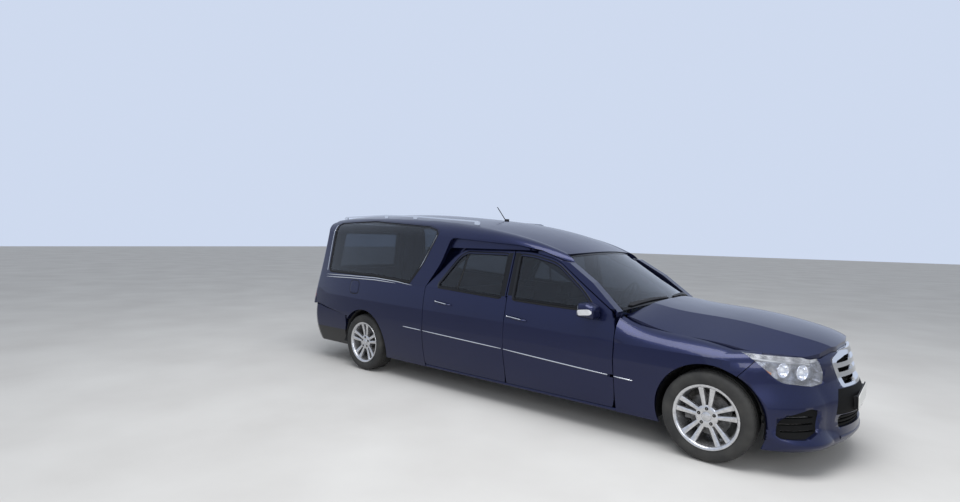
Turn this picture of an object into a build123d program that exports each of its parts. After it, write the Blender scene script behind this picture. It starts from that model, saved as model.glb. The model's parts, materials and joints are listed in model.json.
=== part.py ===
"""Hearse built on a long saloon car: a four-door cab, a raised coach roof and a glazed load bay.

Millimetres. +X is the way the car drives, +Y its left side, +Z up. The origin is on the ground
under the middle of the car. Places along the car are given from the front axle with front(),
or from the rear axle with rear(), so that the wheelbase and the overhangs can be changed.
"""

from build123d import *
from math import cos, hypot, radians, sin, sqrt, tan
import os

# Main sizes
WHEELBASE = 3880.0
FRONT_OVERHANG = 850.0
REAR_OVERHANG = 1270.0
LENGTH = FRONT_OVERHANG + WHEELBASE + REAR_OVERHANG
HALF_WIDTH = 928.0  # at the widest line of the doors
SILL_Z = 200.0
GAP = 6.0  # gap between panels
MOVING_GAP = 6.5  # gap round a panel that opens
SEAT = 0.3  # clearance where fixed pieces sit on each other

FRONT_AXLE = LENGTH / 2 - FRONT_OVERHANG
REAR_AXLE = FRONT_AXLE - WHEELBASE


def front(offset):
    """X of a place that far ahead of the front axle."""
    return FRONT_AXLE + offset


def rear(offset):
    """X of a place that far ahead of the rear axle."""
    return REAR_AXLE + offset


# Wheels
TYRE_R = 326.0
TYRE_WIDTH = 235.0
RIM_R = 233.5  # outside of the rim's flange
BEAD_R = 216.0
TRACK_HALF = 790.0  # from the middle of the car to the middle of a tyre
AXLE_Z = TYRE_R
SPOKE_PAIRS = 5
LUG_CIRCLE_R = 56.0
LUG_R = 12.0
FRONT_ARCH_R = 380.0
REAR_ARCH_R = 384.0
KINGPIN_Y = 735.0
KINGPIN_R = 16.0
DISC_R = 150.0
DISC_THICK = 26.0
HUB_R = 78.0
STUB_R = 26.0
STUB_CLEARANCE = 0.05

# Doors and posts, along the car
DOOR_FRONT = front(-722)
FRONT_DOOR = 1094.0
REAR_DOOR = 1058.0
B_POST = DOOR_FRONT - FRONT_DOOR
DOOR_REAR = B_POST - REAR_DOOR
DOOR_THICK = 66.0
FRAME_THICK = 30.0  # window frame
HINGE_DEPTH = 30.0  # hinge axis, in from the widest line of the side
HINGE_ROUND = 40.0  # radius of a door's rounded front edge about its hinge axis
POST_DEPTH = 48.0  # posts beside the windows, in from the face of the doors
DOOR_FOOT_Z = 232.0
GLASS_THICK = 5.0

# Panels
SKIN = 34.0  # wings, bumpers, bonnet and roof, with their frames
ROOF_SKIN = 40.0
QUARTER_SKIN = DOOR_THICK + MOVING_GAP - SEAT
SIDE_FRAME_THICK = 46.0
FRAME_TOP_Z = 1468.0  # top of the side frames, over the doors

# Windscreen: a sheet bent round one axis, measured up its slope from the middle of its foot
SCREEN_FOOT_X = front(-585)
SCREEN_FOOT_Z = 1050.0
SCREEN_RAKE = 32.0
SCREEN_LENGTH = 770.0
SCREEN_BEND_R = 2850.0
SCREEN_FOOT_Y = 775.0
SCREEN_TOP_Y = 648.0
SCREEN_THICK = 6.0

# Load bay and rear end
TAIL_X = rear(-1000)  # where the side panels end and the rear end begins, at the belt
TAIL_DEPTH = 120.0  # rear end, from the side panels to its back
TAIL_RAKE = 0.19  # how far the rear end leans forward for each unit of height
TAIL_LEVEL = 1000.0  # height at which TAIL_X holds
TAILGATE_TOP_Z = 1738.0
DECK_Z = 610.0

# Side of the lower body. z of the sill is SILL_Z and z of the middle point is 400.
SIDE_MID_Z = 400.0
BULGE = 4.0  # how far the side bows out between its crease and its belt
#             x, sill_y, mid_y, waist_y, waist_z, crease_y, crease_z, belt_y, belt_z
SIDE = [
    (front(-540), 852, 897, 919, 640, 910, 765, 871, 973),
    (front(-1200), 856, 904, HALF_WIDTH - 3, 645, 918, 784, 884, 998),
    (B_POST, 858, 907, HALF_WIDTH, 650, 922, 800, 886, 1015),
    (DOOR_REAR, 858, 908, HALF_WIDTH, 655, 922, 812, 884, 1048),
    (rear(420), 856, 908, HALF_WIDTH, 655, 922, 820, 881, 1070),
    (rear(-100), 850, 904, HALF_WIDTH - 1, 655, 919, 830, 876, 1086),
    (rear(-560), 838, 888, HALF_WIDTH - 16, 660, 899, 840, 858, 1096),
    (rear(-860), 818, 862, HALF_WIDTH - 44, 662, 868, 846, 832, 1100),
    (rear(-1060), 790, 834, HALF_WIDTH - 76, 664, 836, 850, 804, 1102),
]
# Top of the door frames, where they lean in under the coach roof
CANT_Y = 732.0
CANT_Z = 1470.0

# Coach roof: z of the base is ROOF_BASE_Z
ROOF_BASE_Z = 1040.0
#             x, base_y, cant_y, cant_z, edge_y, edge_z, top_z
ROOF = [
    (front(-1180), 792, 655, 1345, 590, 1380, 1446),
    (front(-1480), 850, 748, 1452, 640, 1510, 1560),
    (B_POST, 868, 785, 1530, 660, 1604, 1664),
    (front(-2360), 880, 797, 1572, 664, 1692, 1757),
    (front(-3000), 884, 803, 1594, 664, 1747, 1815),
    (rear(-20), 882, 801, 1612, 656, 1778, 1850),
    (rear(-620), 867, 786, 1616, 646, 1774, 1840),
    (rear(-1060), 812, 745, 1600, 618, 1738, 1802),
]
RECESS_TOP = [  # lower edge of the coach roof over the doors: x, z
    (front(-1300), 1392),
    (front(-1510), 1474),
    (front(-1770), 1516),
    (front(-2560), 1572),
]

# Wing, behind its rounded nose: top_y and top_z are at the bonnet's edge, and bulge is how far
# its shoulder stands out between the crease and that edge
#             x, sill_y, mid_y, waist_y, waist_z, crease_y, crease_z, top_y, top_z, bulge
WING = [
    (front(150), 848, 885, 901, 626, 883, 750, 778, 820, 15),
    (front(0), 848, 886, 908, 632, 896, 756, 776, 846, 17),
    (front(-350), 850, 892, 915, 638, 906, 762, 774, 882, 20),
    (front(-560), 851, 896, 918, 640, 910, 765, 772, 914, 30),
    (front(-760), 852, 898, 921, 641, 912, 768, 762, 1006, 62),
]
# Bonnet, across the car
#             x, top_z, shoulder_y, shoulder_z, edge_y, edge_z
BONNET = [
    (front(770), 806, 330, 782, 640, 640),
    (front(690), 874, 350, 846, 690, 690),
    (front(540), 930, 400, 898, 760, 728),
    (front(260), 985, 430, 955, 800, 800),
    (front(-60), 1020, 430, 994, 800, 846),
    (front(-400), 1046, 430, 1022, 800, 880),
    (front(-760), 1066, 430, 1044, 800, 930),
]
# Nose of the car in plan at each height: its side, its corner and the bow over the middle
NOSE_BACK = front(100)
#             z, side_x, side_y, corner_x, corner_y, bow_x, bow_y, nose_x
NOSE = [
    (172, front(330), 840, front(525), 752, front(690), 480, front(782)),
    (300, front(300), 868, front(500), 778, front(690), 500, front(824)),
    (420, front(280), 886, front(480), 776, front(690), 500, front(845)),
    (520, front(220), 893, front(468), 766, front(665), 515, front(836)),
    (620, front(150), 901, front(453), 750, front(628), 535, front(797)),
    (690, front(150), 897, front(460), 737, front(630), 530, front(778)),
    (750, front(150), 883, front(464), 722, front(633), 520, front(765)),
    (820, front(150), 778, front(430), 685, front(600), 500, front(745)),
]
# Rear bumper in plan at each height
STERN_BOW_Y = 380.0
#             z, tail_x, bow_x, corner_x, corner_y, side_y
STERN = [
    (240, rear(-1190), rear(-1176), rear(-1040), 700, 838),
    (400, rear(-1250), rear(-1236), rear(-1080), 740, 880),
    (560, rear(-1268), rear(-1254), rear(-1090), 750, 905),
    (690, rear(-1262), rear(-1248), rear(-1080), 745, 905),
]


def line(a, b):
    return Edge.make_line(a, b)


def arc(a, through, b):
    return Edge.make_three_point_arc(a, through, b)


def between(a, b, share=0.5):
    return tuple(p + (q - p) * share for p, q in zip(a, b))


def box(x, y, z):
    """A block from the lowest to the highest x, y and z."""
    size = [high - low for low, high in (x, y, z)]
    return Pos(x[0], y[0], z[0]) * Box(*size, align=(Align.MIN, Align.MIN, Align.MIN))


def cylinder_y(x, z, radius, y):
    """A round bar along Y, from y[0] to y[1]."""
    bar = Cylinder(radius, y[1] - y[0], align=(Align.CENTER, Align.CENTER, Align.MIN))
    return Pos(x, y[0], z) * Rot(-90, 0, 0) * bar


def cylinder_z(x, y, radius, z):
    """An upright round bar, from z[0] to z[1]."""
    bar = Cylinder(radius, z[1] - z[0], align=(Align.CENTER, Align.CENTER, Align.MIN))
    return Pos(x, y, z[0]) * bar


def rounded(points):
    """Edges of a closed outline in a plane. A point is (u, v), or (u, v, corner radius)."""
    count = len(points)
    starts, arcs = [], []
    for i, point in enumerate(points):
        u, v = point[0], point[1]
        radius = point[2] if len(point) > 2 else 0.0
        before, after = points[i - 1], points[(i + 1) % count]
        if not radius:
            starts.append(((u, v), (u, v)))
            arcs.append(None)
            continue
        a = Vector(before[0] - u, before[1] - v).normalized()
        b = Vector(after[0] - u, after[1] - v).normalized()
        half = radians(a.get_angle(b)) / 2
        reach = radius / tan(half)
        middle = (a + b).normalized() * (radius / sin(half) - radius)
        entry = (u + a.X * reach, v + a.Y * reach)
        leave = (u + b.X * reach, v + b.Y * reach)
        starts.append((entry, leave))
        arcs.append((u + middle.X, v + middle.Y))
    edges = []
    for i in range(count):
        entry, leave = starts[i]
        if arcs[i]:
            edges.append((entry, arcs[i], leave))
        following = starts[(i + 1) % count][0]
        if hypot(following[0] - leave[0], following[1] - leave[1]) > 1e-6:
            edges.append((leave, following))
    return edges


def prism(points, place, depth):
    """A rounded outline, set in 3D by place(u, v), and pushed along the vector depth."""
    edges = []
    for run in rounded(points):
        spots = [place(u, v) for u, v in run]
        edges.append(line(*spots) if len(spots) == 2 else arc(*spots))
    return Solid.extrude(Face(Wire(edges)), Vector(*depth))


def side_prism(points, y):
    """Outline in x and z, pushed from y[0] to y[1]."""
    return prism(points, lambda u, v: (u, y[0], v), (0, y[1] - y[0], 0))


def plan_prism(points, z):
    """Outline in x and y, pushed from z[0] to z[1]."""
    return prism(points, lambda u, v: (u, v, z[0]), (0, 0, z[1] - z[0]))


def front_prism(points, x):
    """Outline in y and z, pushed from x[0] to x[1]."""
    return prism(points, lambda u, v: (x[0], u, v), (x[1] - x[0], 0, 0))


def mirrored(shape):
    return shape.mirror(Plane.XZ)


def both(shape):
    """A right-hand shape and its mirror image, as one compound."""
    return Compound(children=[*shape.solids(), *mirrored(shape).solids()])


def largest(shape):
    return max(shape.solids(), key=lambda s: s.volume)


def tail_x(z, depth=0.0):
    """X of the leaning rear end at a height, and depth behind its front face."""
    return TAIL_X + (z - TAIL_LEVEL) * TAIL_RAKE - depth


def behind_tail(depth=0.0, far=600.0):
    """All that lies behind the leaning plane of the rear end."""
    low, high = 0.0, 2200.0
    corners = [
        (tail_x(low, depth), low),
        (tail_x(high, depth), high),
        (tail_x(high, depth) - far, high),
        (tail_x(low, depth) - far, low),
    ]
    return side_prism(corners, (-1200, 1200))


def screen_point(y, up, out=0.0):
    """A place on the windscreen: y across, up its slope, and out from its outer face."""
    rake = radians(SCREEN_RAKE)
    sink = SCREEN_BEND_R - sqrt(SCREEN_BEND_R**2 - y * y)
    out = out - sink
    x = SCREEN_FOOT_X - up * cos(rake) + out * sin(rake)
    z = SCREEN_FOOT_Z + up * sin(rake) + out * cos(rake)
    return (x, y, z)


def screen_sheet(inner, outer, low=-250.0, high=1100.0):
    """The bent sheet between two depths from the windscreen's outer face."""
    side = 860.0
    rake = radians(SCREEN_RAKE)
    outer_arc = [screen_point(y, low, outer) for y in (-side, 0, side)]
    inner_arc = [screen_point(y, low, inner) for y in (-side, 0, side)]
    wire = Wire(
        [
            arc(*outer_arc),
            line(outer_arc[2], inner_arc[2]),
            arc(*inner_arc[::-1]),
            line(inner_arc[0], outer_arc[0]),
        ]
    )
    run = high - low
    return Solid.extrude(Face(wire), Vector(-run * cos(rake), 0, run * sin(rake)))


SCREEN_FOOT_DIP = 84.0  # the foot's middle lies this far below its corners, along the slope
SCREEN_TOP_DIP = 58.0


def screen_outline(margin):
    """A solid that holds the windscreen's outline, grown by margin, pushed through it."""
    rake = radians(SCREEN_RAKE)
    foot_y, top_y = SCREEN_FOOT_Y + margin, SCREEN_TOP_Y + margin
    foot, top = -margin, SCREEN_LENGTH + margin
    reach = 200.0

    def place(y, up):
        x = SCREEN_FOOT_X - up * cos(rake) - reach * sin(rake)
        return (x, y, SCREEN_FOOT_Z + up * sin(rake) - reach * cos(rake))

    left_foot, right_foot = place(-foot_y, foot + SCREEN_FOOT_DIP), place(foot_y, foot + SCREEN_FOOT_DIP)
    left_top, right_top = place(-top_y, top + SCREEN_TOP_DIP), place(top_y, top + SCREEN_TOP_DIP)
    wire = Wire(
        [
            arc(left_foot, place(0, foot), right_foot),
            line(right_foot, right_top),
            arc(right_top, place(0, top), left_top),
            line(left_top, left_foot),
        ]
    )
    push = 2 * reach
    return Solid.extrude(Face(wire), Vector(push * sin(rake), 0, push * cos(rake)))


# Side panels: depth and thickness from the face of the doors
DOOR_WALL = (0.0, DOOR_THICK, (0.0, FRAME_THICK, 2.0))
FRAME_WALL = (DOOR_THICK + MOVING_GAP, SIDE_FRAME_THICK, (POST_DEPTH, SIDE_FRAME_THICK, 14.0))
POST_WALL = (0.0, 100.0, (0.0, 96.0, 2.0))
DOOR_ROOM = (-20.0, DOOR_THICK + MOVING_GAP + 20, (-20.0, POST_DEPTH + 20, 14.0))
GLASS_WALL = (10.0, GLASS_THICK, (10.0, GLASS_THICK, 1.0))


def polyline(points):
    return [line(a, b) for a, b in zip(points, points[1:])]


def side_section(row, depth, skin, top=None):
    """Closed section of a right-hand panel, moved in by depth: its side up to the belt.

    With top = (depth, thickness, rise) it goes on from that rise over the belt up to the cant.
    """
    x, sill_y, mid_y, waist_y, waist_z, crease_y, crease_z, belt_y, belt_z = row
    sill, mid, waist = (x, depth - sill_y, SILL_Z), (x, depth - mid_y, SIDE_MID_Z), (x, depth - waist_y, waist_z)
    crease, belt = (x, depth - crease_y, crease_z), (x, depth - belt_y, belt_z)
    bulge = between(crease, belt)
    bulge = (x, bulge[1] - BULGE, bulge[2])
    inner = [(x, y + skin, z) for _, y, z in (belt, bulge, crease, waist, mid, sill)]
    closing = [belt, inner[0]]
    if top:
        lean_depth, lean_thick, rise = top
        step = (x, lean_depth - belt_y, belt_z + rise)
        cant = (x, lean_depth - CANT_Y, CANT_Z)
        inside = [(x, y + lean_thick, z) for _, y, z in (cant, step)]
        closing = [belt, step, cant, *inside, inner[0]]
    edges = [arc(sill, mid, waist), line(waist, crease), arc(crease, bulge, belt)]
    edges += polyline(closing)
    return [*edges, arc(*inner[:3]), line(inner[2], inner[3]), arc(*inner[3:]), line(inner[5], sill)]


def side_wall(wall):
    """The right-hand side of the body as one thick wall, through every row of SIDE."""
    depth, skin, top = wall
    return Solid.make_loft([Wire(side_section(row, depth, skin, top)) for row in SIDE])


def body_core(inset):
    """The room between the two sides, as far in as their inner faces, to cut crosswise pieces to."""
    wires = []
    for x, sill_y, mid_y, waist_y, waist_z, crease_y, crease_z, belt_y, belt_z in SIDE:
        bulge = ((crease_y + belt_y) / 2 + BULGE, (crease_z + belt_z) / 2)
        side = [(sill_y, SILL_Z), (mid_y, SIDE_MID_Z), (waist_y, waist_z), (crease_y, crease_z), bulge, (belt_y, belt_z)]
        right = [(x, inset - y, z) for y, z in side]
        left = [(x, y - inset, z) for y, z in reversed(side)]
        climb = [arc(*right[:3]), line(right[2], right[3]), arc(*right[3:])]
        fall = [arc(*left[:3]), line(left[2], left[3]), arc(*left[3:])]
        wires.append(Wire([*climb, line(right[-1], left[0]), *fall, line(left[-1], right[0])]))
    return Solid.make_loft(wires)


def belt_at(x):
    """Height of the belt at x, straight between the rows of SIDE."""
    for ahead, behind in zip(SIDE, SIDE[1:]):
        if behind[0] <= x <= ahead[0]:
            share = (ahead[0] - x) / (ahead[0] - behind[0])
            return ahead[-1] + (behind[-1] - ahead[-1]) * share
    return SIDE[0][-1]


OUTSIDE = (-1100, -540)
HINGE_HEIGHTS = (490.0, 730.0)
PIN_R = 7.0
BRACKET = 12.0
HINGE_Y = -(HALF_WIDTH - HINGE_DEPTH)
HINGE_SETBACK = GAP / 2 + sqrt(HINGE_ROUND**2 - HINGE_DEPTH**2)
FRONT_HINGE_X = DOOR_FRONT - HINGE_SETBACK
REAR_HINGE_X = B_POST - HINGE_SETBACK
FRONT_HINGE_TOP = belt_at(DOOR_FRONT) + 44
REAR_HINGE_TOP = belt_at(B_POST) + 6


def front_door_outline(grow=0.0):
    """Edge of the front door, with its window frame, seen from the side."""
    g = grow
    return [
        (FRONT_HINGE_X + HINGE_ROUND + 1 + g, DOOR_FOOT_Z - g, 30),
        (FRONT_HINGE_X + HINGE_ROUND + 1 + g, 880, 200),
        (front(-752) + g, 1006 + g, 26),
        (front(-1010) + g, 1172 + g, 900),
        (front(-1330), 1388 + g, 420),
        (front(-1600), 1446 + g, 900),
        (B_POST + 6 - g, 1458 + g, 8),
        (B_POST + 6 - g, 1040, 10),
        (REAR_HINGE_X - g, 1040, 10),
        (REAR_HINGE_X - g, DOOR_FOOT_Z - g, 20),
    ]


def rear_door_outline(grow=0.0):
    g = grow
    return [
        (REAR_HINGE_X + HINGE_ROUND + 1 + g, DOOR_FOOT_Z - g, 20),
        (REAR_HINGE_X + HINGE_ROUND + 1 + g, 1026, 8),
        (B_POST - 6 + g, 1026, 0),
        (B_POST - 6 + g, 1459 + g, 8),
        (front(-2420), 1459 + g, 160),
        (front(-2560) - g, 1380 + g, 220),
        (DOOR_REAR - g, belt_at(DOOR_REAR) + 4, 60),
        (DOOR_REAR - g, DOOR_FOOT_Z - g, 30),
    ]


def front_window(shrink=0.0):
    s = shrink
    foot_front, foot_rear = belt_at(front(-960)) + 14 + s, belt_at(B_POST) + 10 + s
    return [
        (front(-905) - s, foot_front, 14),
        (front(-1040) - s, 1140 - s, 800),
        (front(-1330), 1352 - s, 380),
        (front(-1600), 1408 - s, 800),
        (B_POST + 74 + s, 1417 - s, 16),
        (B_POST + 88 + s, foot_rear, 16),
    ]


def rear_window(shrink=0.0):
    s = shrink
    foot_front, foot_rear = belt_at(B_POST) + 12 + s, belt_at(DOOR_REAR) + 22 + s
    return [
        (B_POST - 66 - s, foot_front, 16),
        (B_POST - 80 - s, 1417 - s, 16),
        (front(-2400), 1417 - s, 120),
        (front(-2490) + s, 1372 - s, 200),
        (front(-2705) + s, foot_rear, 20),
    ]


def beyond_round(hinge_x, top):
    """What a door loses ahead of its hinge axis, outside of the rounded edge."""
    block = box((hinge_x, hinge_x + 3 * HINGE_ROUND), (-1100, -640), (0, top))
    return block - cylinder_z(hinge_x, HINGE_Y, HINGE_ROUND, (-10, top + 10))


def hinge_room(hinge_x, top, depth=300.0):
    """The room that a rounded door edge needs in the panel ahead of it."""
    reach = HINGE_ROUND + MOVING_GAP
    foot = DOOR_FOOT_Z - 60
    room = cylinder_z(hinge_x, HINGE_Y, reach, (foot, top))
    room = room + box((hinge_x - 300, hinge_x), (-1100, HINGE_Y + depth), (foot, top))
    return room + box((hinge_x - 10, hinge_x + reach), (HINGE_Y, HINGE_Y + depth), (foot, top))


def rounded_edge(hinge_x, top):
    """The swept round alone, for the frame behind a door."""
    return cylinder_z(hinge_x, HINGE_Y, HINGE_ROUND + MOVING_GAP, (DOOR_FOOT_Z - 60, top))


def hinge_pins(hinge_x):
    """Two pins on brackets of the side frame, about which a right-hand door turns."""
    pins = None
    for z in HINGE_HEIGHTS:
        pin = cylinder_z(hinge_x, HINGE_Y, PIN_R, (z - 34, z + 46))
        bracket = box((hinge_x - PIN_R, hinge_x + PIN_R), (HINGE_Y, HINGE_Y + 66), (z, z + BRACKET))
        pins = pin + bracket if pins is None else pins + pin + bracket
    return pins


def hinge_pockets(hinge_x):
    """Bores and notches that a right-hand door needs round its pins and their brackets."""
    room = None
    for z in HINGE_HEIGHTS:
        bore = cylinder_z(hinge_x, HINGE_Y, PIN_R + STUB_CLEARANCE, (z - 36, z + 48))
        reach = PIN_R + MOVING_GAP
        heights = (z - MOVING_GAP, z + BRACKET + MOVING_GAP)
        notch = cylinder_z(hinge_x, HINGE_Y, reach, heights)
        far = 2 * HINGE_ROUND
        notch = notch + box((hinge_x - reach, hinge_x + far), (HINGE_Y, HINGE_Y + far), heights)
        notch = notch + box((hinge_x, hinge_x + far), (HINGE_Y - reach, HINGE_Y), heights)
        room = bore + notch if room is None else room + bore + notch
    return room


def build_front_door(wall):
    door = wall & side_prism(front_door_outline(), OUTSIDE)
    door = door - side_prism(front_window(), OUTSIDE)
    door = door - beyond_round(FRONT_HINGE_X, FRONT_HINGE_TOP) - hinge_pockets(FRONT_HINGE_X)
    return largest(door - hinge_room(REAR_HINGE_X, REAR_HINGE_TOP + 20))


def build_rear_door(wall):
    door = wall & side_prism(rear_door_outline(), OUTSIDE)
    door = door - side_prism(rear_window(), OUTSIDE)
    return largest(door - beyond_round(REAR_HINGE_X, REAR_HINGE_TOP) - hinge_pockets(REAR_HINGE_X))


def build_door_glass(window):
    """A pane let into the window frame, a little behind its face."""
    return largest(side_wall(GLASS_WALL) & side_prism(window, OUTSIDE))


def build_mirror():
    """Mirror housing on a short foot, for the right-hand door."""
    shell = side_prism(
        [
            (front(-842), 938, 20),
            (front(-835), 1040, 40),
            (front(-905), 1068, 30),
            (front(-990), 1062, 20),
            (front(-1000), 948, 20),
        ],
        (-1035, -905),
    )
    shell = fillet(shell.faces().sort_by(Axis.Y)[0].edges(), 44)
    shell = fillet(shell.faces().sort_by(Axis.Y)[-1].edges(), 18)
    foot = side_prism(
        [(front(-850), 952, 8), (front(-850), 982, 8), (front(-930), 982, 8), (front(-930), 952, 8)],
        (-930, -866),
    )
    return shell + foot


def build_side_frame():
    """Sill, posts and cant rail behind the doors of the right-hand side."""
    ring = side_wall(FRAME_WALL) & side_prism(
        [
            (front(-562), SILL_Z, 0),
            (front(-562), 880, 0),
            (front(-706), 880, 0),
            (front(-706), 1000, 0),
            (front(-760), 1040, 0),
            (front(-1180), 1330, 0),
            (front(-1560), FRAME_TOP_Z, 0),
            (front(-2500), FRAME_TOP_Z, 0),
            (DOOR_REAR - 90, belt_at(DOOR_REAR), 0),
            (DOOR_REAR - 90, SILL_Z, 0),
        ],
        OUTSIDE,
    )
    for outline, hole in ((front_door_outline, front_opening()), (rear_door_outline, rear_opening())):
        ring = ring - side_prism(hole, OUTSIDE)
    ring = ring - rounded_edge(FRONT_HINGE_X, FRONT_HINGE_TOP) - rounded_edge(REAR_HINGE_X, REAR_HINGE_TOP)
    ring = ring + hinge_pins(FRONT_HINGE_X) + hinge_pins(REAR_HINGE_X)
    return (ring + build_a_post()) & side_prism(under_roof(), OUTSIDE)


def under_roof():
    """Side view of what lies under the coach roof's lower edge or ahead of it."""
    roof_front = ROOF[0][0]
    share = (front(-1000) - roof_front) / (front(-1000) - RECESS_TOP[0][0])
    edge = 1330 + (RECESS_TOP[0][1] - 1330) * share
    rail = [(x, z - 6, 0) for x, z in RECESS_TOP]
    return [
        (front(-500), 150, 0),
        (front(-500), 1500, 0),
        (roof_front + SEAT, 1500, 0),
        (roof_front + SEAT, edge - SEAT, 0),
        *rail[:3],
        (front(-2500), rail[3][1] - 20, 0),
        (DOOR_REAR - MOVING_GAP + 2, belt_at(DOOR_REAR), 0),
        (DOOR_REAR - 90, belt_at(DOOR_REAR) - 10, 0),
        (DOOR_REAR - 90, 150, 0),
    ]


def front_opening():
    return [
        (DOOR_FRONT - 76, 330, 60),
        (DOOR_FRONT - 76, 940, 80),
        (front(-905), 1070, 60),
        (front(-1350), 1366, 300),
        (front(-1600), 1412, 600),
        (B_POST + 60, 1420, 40),
        (B_POST + 66, 330, 60),
    ]


def rear_opening():
    return [
        (B_POST - 66, 330, 60),
        (B_POST - 60, 1420, 40),
        (front(-2400), 1420, 140),
        (front(-2560), 1290, 300),
        (DOOR_REAR + 70, 980, 100),
        (DOOR_REAR + 60, 760, 160),
        (rear(REAR_ARCH_R + 130), 330, 100),
    ]


def build_a_post():
    """Windscreen post of the right-hand side, between the wing, the door and the roof."""
    strip = side_wall(POST_WALL) & side_prism(
        [
            (front(-716), 958, 0),
            (front(-700), 1004, 0),
            (front(-960), 1218, 0),
            (front(-1290), 1420, 0),
            (front(-1500), FRAME_TOP_Z, 0),
            (front(-1560), FRAME_TOP_Z, 0),
            (front(-1560), 1380, 0),
            (front(-1180), 1200, 0),
            (front(-820), 958, 0),
        ],
        OUTSIDE,
    )
    strip = strip - screen_outline(SEAT)
    door_room = side_wall(DOOR_ROOM) & side_prism(front_door_outline(MOVING_GAP), OUTSIDE)
    return largest(strip - door_room - rounded_edge(FRONT_HINGE_X, FRONT_HINGE_TOP))


def wing_section(x, sill_y, mid_y, waist_y, waist_z, crease_y, crease_z, top_y, top_z, bulge):
    """Closed section of the right-hand front wing."""
    sill, mid, waist = (x, -sill_y, SILL_Z), (x, -mid_y, SIDE_MID_Z), (x, -waist_y, waist_z)
    crease, top = (x, -crease_y, crease_z), (x, -top_y, top_z)
    shoulder = between(crease, top)
    fall, rise = crease_y - top_y, top_z - crease_z
    out = bulge / hypot(fall, rise)
    shoulder = (x, shoulder[1] - out * rise, shoulder[2] + out * fall)
    lip = (x, -top_y, top_z - SKIN)
    inner = [(crease_y, crease_z - 12), (waist_y, waist_z), (sill_y, SILL_Z)]
    inner = [(x, SKIN - y, z) for y, z in inner]
    edges = [arc(sill, mid, waist), line(waist, crease), arc(crease, shoulder, top)]
    return edges + polyline([top, lip, *inner, sill])


def bumper_side(grow=0.0):
    """Side view of all that lies ahead of the seam between the bumper and the wings."""
    return [
        (front(190) - grow, 100, 0),
        (front(190) - grow, 636, 0),
        (front(330) - grow, 800, 0),
        (front(330) - grow, 1000, 0),
        (front(1000), 1000, 0),
        (front(1000), 100, 0),
    ]


def lamp_prism(grow=0.0):
    """Outline of the right-hand headlamp, seen along the corner's diagonal and pushed inwards."""
    g = grow
    outline = [
        (-425 - 2 * g, 812 + g, 0),
        (-200, 800 + g, 0),
        (60, 790 + g, 0),
        (112 + g, 690, 40),
        (104 + g, 614 - g, 16),
        (10, 600 - g, 60),
        (-230, 628 - g, 200),
    ]
    away, root2 = 1150.0, sqrt(2)

    def place(s, z):
        return (front((away + s) / root2), (s - away) / root2, z)

    push = 620.0
    return prism(outline, place, (-push / root2, push / root2, 0))


def build_wing():
    side = Solid.make_loft([Wire(wing_section(*row)) for row in WING])
    tip = nose_shell() & box((NOSE_BACK, front(400)), (-1100, -480), (600, 900))
    wing = side + (tip - side_prism(bumper_side(GAP), (-1100, -200)))
    wing = wing - lamp_prism(SEAT) - bonnet_room()
    inside = side_wall((QUARTER_SKIN, 160.0, None))
    wing = wing - (inside & box((front(-900), front(-541)), (-900, 0), (SILL_Z, 1100)))
    wing = wing - cylinder_y(FRONT_AXLE, AXLE_Z, FRONT_ARCH_R, (-1100, -480))
    wing = wing - hinge_room(FRONT_HINGE_X, FRONT_HINGE_TOP)
    return largest(wing & box((front(-760), front(640)), (-1100, -480), (SILL_Z, 1100)))


def nose_wire(row, inset=0.0):
    z, side_x, side_y, corner_x, corner_y, bow_x, bow_y, nose_x = row
    right = [
        (NOSE_BACK, inset - side_y - 4, z),
        (side_x - inset * 0.3, inset - side_y, z),
        (corner_x - inset, inset - corner_y, z),
        (bow_x - inset, inset - bow_y, z),
    ]
    left = [(x, -y, z) for x, y, _ in reversed(right)]
    return Wire(
        [
            line(right[0], right[1]),
            arc(*right[1:]),
            arc(right[3], (nose_x - inset, 0, z), left[0]),
            arc(*left[:3]),
            line(left[2], left[3]),
            line(left[3], right[0]),
        ]
    )


def nose_solid(inset=0.0, reach=0.0):
    """The whole nose, moved in by inset and carried on past its lowest and highest row by reach."""
    rows = NOSE
    if reach:
        rows = [(rows[0][0] - reach, *rows[0][1:]), *rows, (rows[-1][0] + reach, *rows[-1][1:])]
    return Solid.make_loft([nose_wire(row, inset) for row in rows])


NOSE_REACH = 40.0


def nose_shell(depth=SKIN):
    return nose_solid() - nose_solid(depth, NOSE_REACH)


# Openings of the nose seen from the front: y, z, radius of the corner
INTAKE = [(-395, 300, 24), (-420, 392, 30), (420, 392, 30), (395, 300, 24)]
SIDE_INTAKE = [
    (-826, 262, 24),
    (-800, 400, 90),
    (-640, 458, 60),
    (-560, 440, 30),
    (-590, 300, 30),
    (-700, 262, 60),
]
GRILLE = [
    (-330, 572, 30),
    (-405, 768, 40),
    (-200, 830, 300),
    (200, 830, 300),
    (405, 768, 40),
    (330, 572, 30),
]
GRILLE_GAP = [
    (-290, 592, 16),
    (-360, 750, 30),
    (-190, 778, 300),
    (190, 778, 300),
    (360, 750, 30),
    (290, 592, 16),
]


def ring_outline(outline, grow):
    """A front-view outline moved outwards by grow, from the middle of its own box."""
    us, vs = [p[0] for p in outline], [p[1] for p in outline]
    mid_u, mid_v = (min(us) + max(us)) / 2, (min(vs) + max(vs)) / 2
    wide, high = (max(us) - min(us)) / 2, (max(vs) - min(vs)) / 2
    ku, kv = 1 + grow / wide, 1 + grow / high
    return [(mid_u + (u - mid_u) * ku, mid_v + (v - mid_v) * kv, r) for u, v, r in outline]


FORWARD = (front(300), front(1100))


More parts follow.
